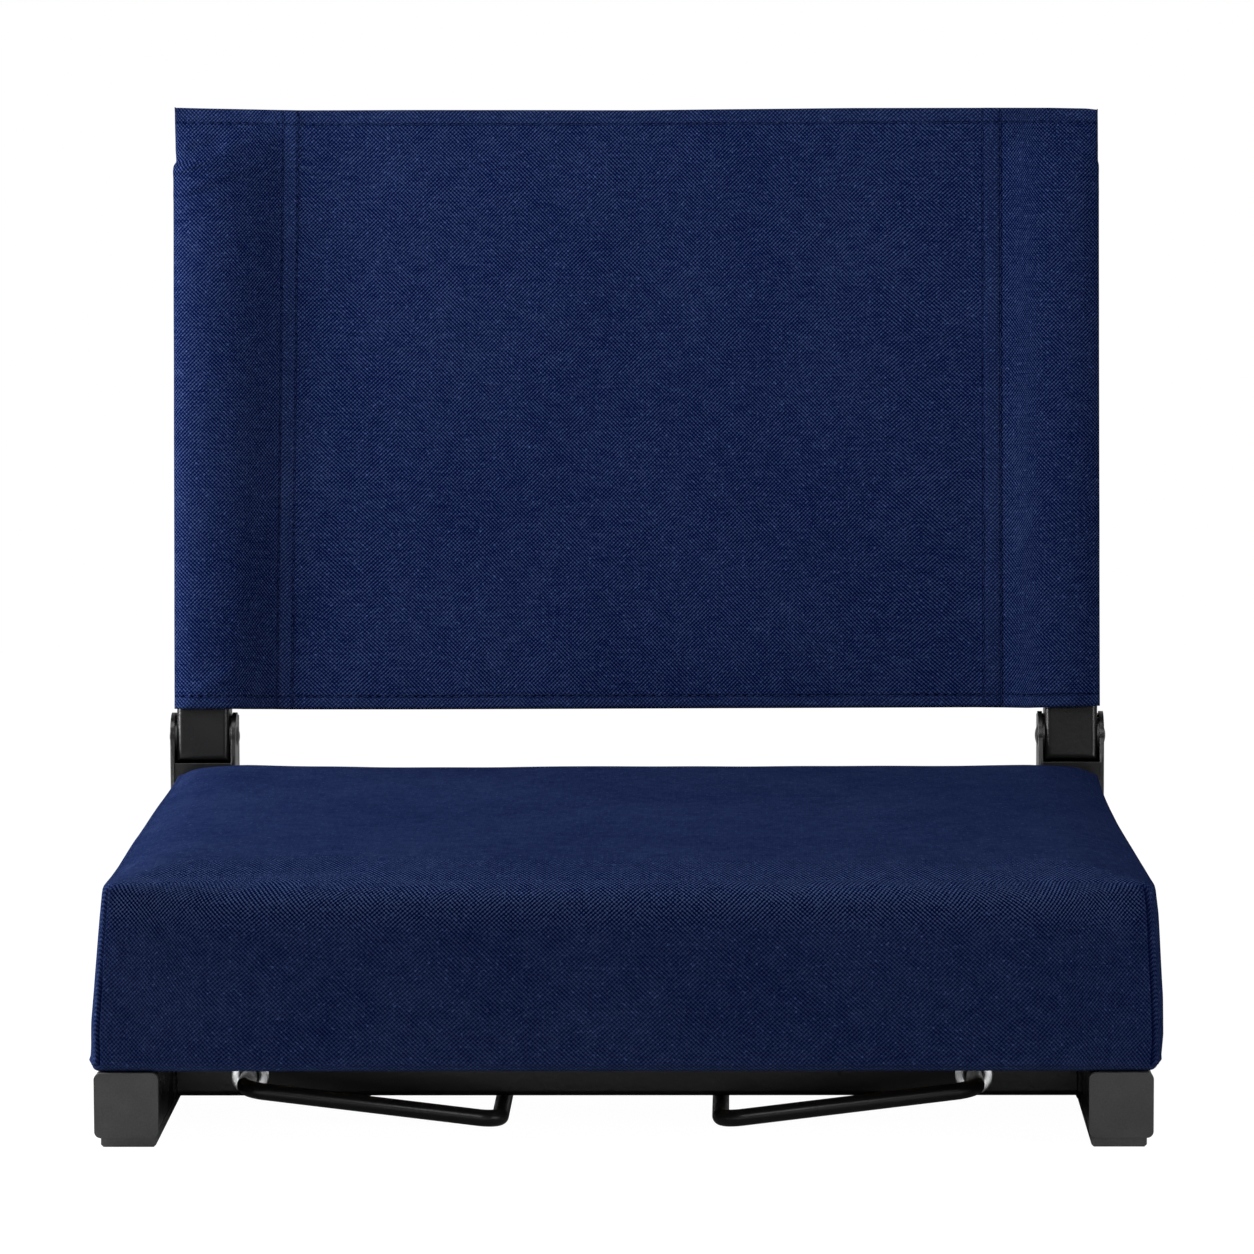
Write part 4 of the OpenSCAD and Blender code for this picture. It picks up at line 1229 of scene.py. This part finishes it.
# Staples that hold the cloth under the board, turned a little unevenly
def makeStaples():
    k = staples
    x = np.arange(-k["endX"], k["endX"] + 0.001, k["step"])
    y = np.arange(*k["sideY"], k["step"])
    rows = [stacked(x, at) for at in k["ends"]]
    rows += [stacked(at, y) for at in (-k["sideX"], k["sideX"])]
    flat = np.vstack(rows)
    rng = np.random.default_rng(31)
    angle = np.repeat([0, 0, math.pi / 2, math.pi / 2], [len(r) for r in rows])
    angle = angle + rng.normal(0, k["turned"], len(flat))
    flat = flat + rng.normal(0, k["moved"], flat.shape)
    cos, sin = np.cos(angle), np.sin(angle)
    axes = stacked(stacked(cos, sin, 0), stacked(-sin, cos, 0), [0, 0, 1])
    shape, quads = pill(k["long"], k["wide"], k["high"])
    repeated("coverStaples", shape, quads, stacked(*flat.T, k["z"]), axes, body="seat",
             slot="zinc", material=zincPlate)


makeStaples()
print("staples made")


# Floor, backdrop, lamps and camera

stageLook = {"floor": 0.6, "glow": 1.06, "glowShare": 0.93, "sky": 0.25, "seen": 1.0,
             "mirrored": 0.08, "wall": 0.6, "half": 6.0, "low": -0.0002, "wallY": 1.6,
             "wallZ": (-0.001, 4)}


# (1 - share) a + share b, of two shaders
def mixShader(tree, share, a, b):
    return addNode(tree, "ShaderNodeMixShader", {0: share, 1: a, 2: b}).outputs[0]


# White where the camera sees it and dimmer in reflections; the floor keeps some shadow
def makeStage():
    k = stageLook
    material = bpy.data.materials.new("floor_white")
    tree = emptyTree(material)
    rays = addNode(tree, "ShaderNodeLightPath").outputs
    diffuse = addNode(tree, "ShaderNodeBsdfDiffuse",
                      {"Color": (k["floor"],) * 3 + (1,)}).outputs[0]
    glow = addNode(tree, "ShaderNodeEmission", {"Color": (1, 1, 1, 1),
                   "Strength": k["glow"]}).outputs[0]
    seen = mixShader(tree, k["glowShare"], diffuse, glow)
    endTree(tree, "ShaderNodeOutputMaterial",
            mixShader(tree, rays["Is Camera Ray"], diffuse, seen))
    size, low = k["half"], k["low"]
    floor = addMesh("floor", [[-size, -size, low], [size, -size, low], [size, size, low],
                              [-size, size, low]], [[0, 1, 2, 3]], material=material)
    material = bpy.data.materials.new("backdrop_white")
    tree = emptyTree(material)
    rays = addNode(tree, "ShaderNodeLightPath").outputs
    level = plus(tree, k["wall"], times(tree, rays["Is Camera Ray"], 1 - k["wall"]))
    glow = addNode(tree, "ShaderNodeEmission", {"Strength": level}).outputs[0]
    clear = addNode(tree, "ShaderNodeBsdfTransparent").outputs[0]
    behind = addNode(tree, "ShaderNodeNewGeometry").outputs["Backfacing"]
    endTree(tree, "ShaderNodeOutputMaterial", mixShader(tree, behind, glow, clear))
    y, (low, high) = k["wallY"], k["wallZ"]
    wall = addMesh("backdrop", [[-size, y, low], [size, y, low], [size, y, high],
                                [-size, y, high]], [[0, 1, 2, 3]], material=material)
    world = bpy.context.scene.world or bpy.data.worlds.new("World")
    bpy.context.scene.world = world
    tree = emptyTree(world)
    rays = addNode(tree, "ShaderNodeLightPath").outputs
    level = plus(tree, k["sky"], times(tree, rays["Is Camera Ray"], k["seen"] - k["sky"]))
    level = mathNode(tree, "SUBTRACT", level,
                     times(tree, rays["Is Glossy Ray"], k["sky"] - k["mirrored"]))
    back = addNode(tree, "ShaderNodeBackground", {"Color": (1, 1, 1, 1),
                   "Strength": level}).outputs[0]
    endTree(tree, "ShaderNodeOutputWorld", back)


lamps = {
    "top": {"at": (-0.12, -0.24, 0.84), "to": (0, 0.08, 0.2), "size": (0.7, 0.35), "power": 6.4},
    "front": {"at": (0.2, -2.4, 1.3), "to": (0, 0, 0.2), "size": (0.9, 0.7), "power": 22},
    "left": {"at": (-0.8, -0.02, 0.38), "to": (-0.2, 0, 0.2), "size": (0.3, 0.5), "power": 21.5},
    "right": {"at": (1.2, -0.55, 0.36), "to": (0, 0, 0.12), "size": (0.4, 0.6), "power": 9},
    "low": {"at": (0, -0.8, 0.035), "to": (0, 0, 0.02), "size": (0.9, 0.05), "power": 0.5},
}


# Area lamps, each aimed from its place at the point it lights
def makeLamps():
    for name, lamp in lamps.items():
        data = bpy.data.lights.new(name, "AREA")
        data.shape = "RECTANGLE"
        data.size, data.size_y = lamp["size"]
        data.energy = lamp["power"]
        thing = addThing(name + "Lamp", data)
        thing.location = lamp["at"]
        thing.visible_camera = False
        aim = Vector(lamp["to"]) - Vector(lamp["at"])
        thing.rotation_euler = aim.to_track_quat("-Z", "Y").to_euler()


cameraPlace = {"at": (0.049, -2.5926, 0.4692), "yaw": -1.112, "pitch": 6.131, "roll": 0.235,
               "focal": 172.83, "sensor": 36.0, "clip": (0.05, 50)}


# The camera looks along the forward line of its yaw and pitch, and is rolled about it
def makeCamera():
    yaw, pitch, roll = (math.radians(cameraPlace[k]) for k in ("yaw", "pitch", "roll"))
    forward = Vector((math.cos(pitch) * math.sin(yaw), math.cos(pitch) * math.cos(yaw),
                      -math.sin(pitch)))
    across = Vector((math.cos(yaw), -math.sin(yaw), 0))
    up = across.cross(forward)
    x = across * math.cos(roll) - up * math.sin(roll)
    y = across * math.sin(roll) + up * math.cos(roll)
    data = bpy.data.cameras.new("Camera")
    data.lens, data.sensor_width = cameraPlace["focal"], cameraPlace["sensor"]
    data.clip_start, data.clip_end = cameraPlace["clip"]
    thing = addThing("Camera", data)
    turn = Matrix((x, y, -forward)).transposed().to_4x4()
    thing.matrix_world = Matrix.Translation(Vector(cameraPlace["at"])) @ turn
    bpy.context.scene.camera = thing


makeStage()
makeLamps()
makeCamera()
bpy.context.scene.view_settings.view_transform = "Standard"
print("stage, lamps and camera set")
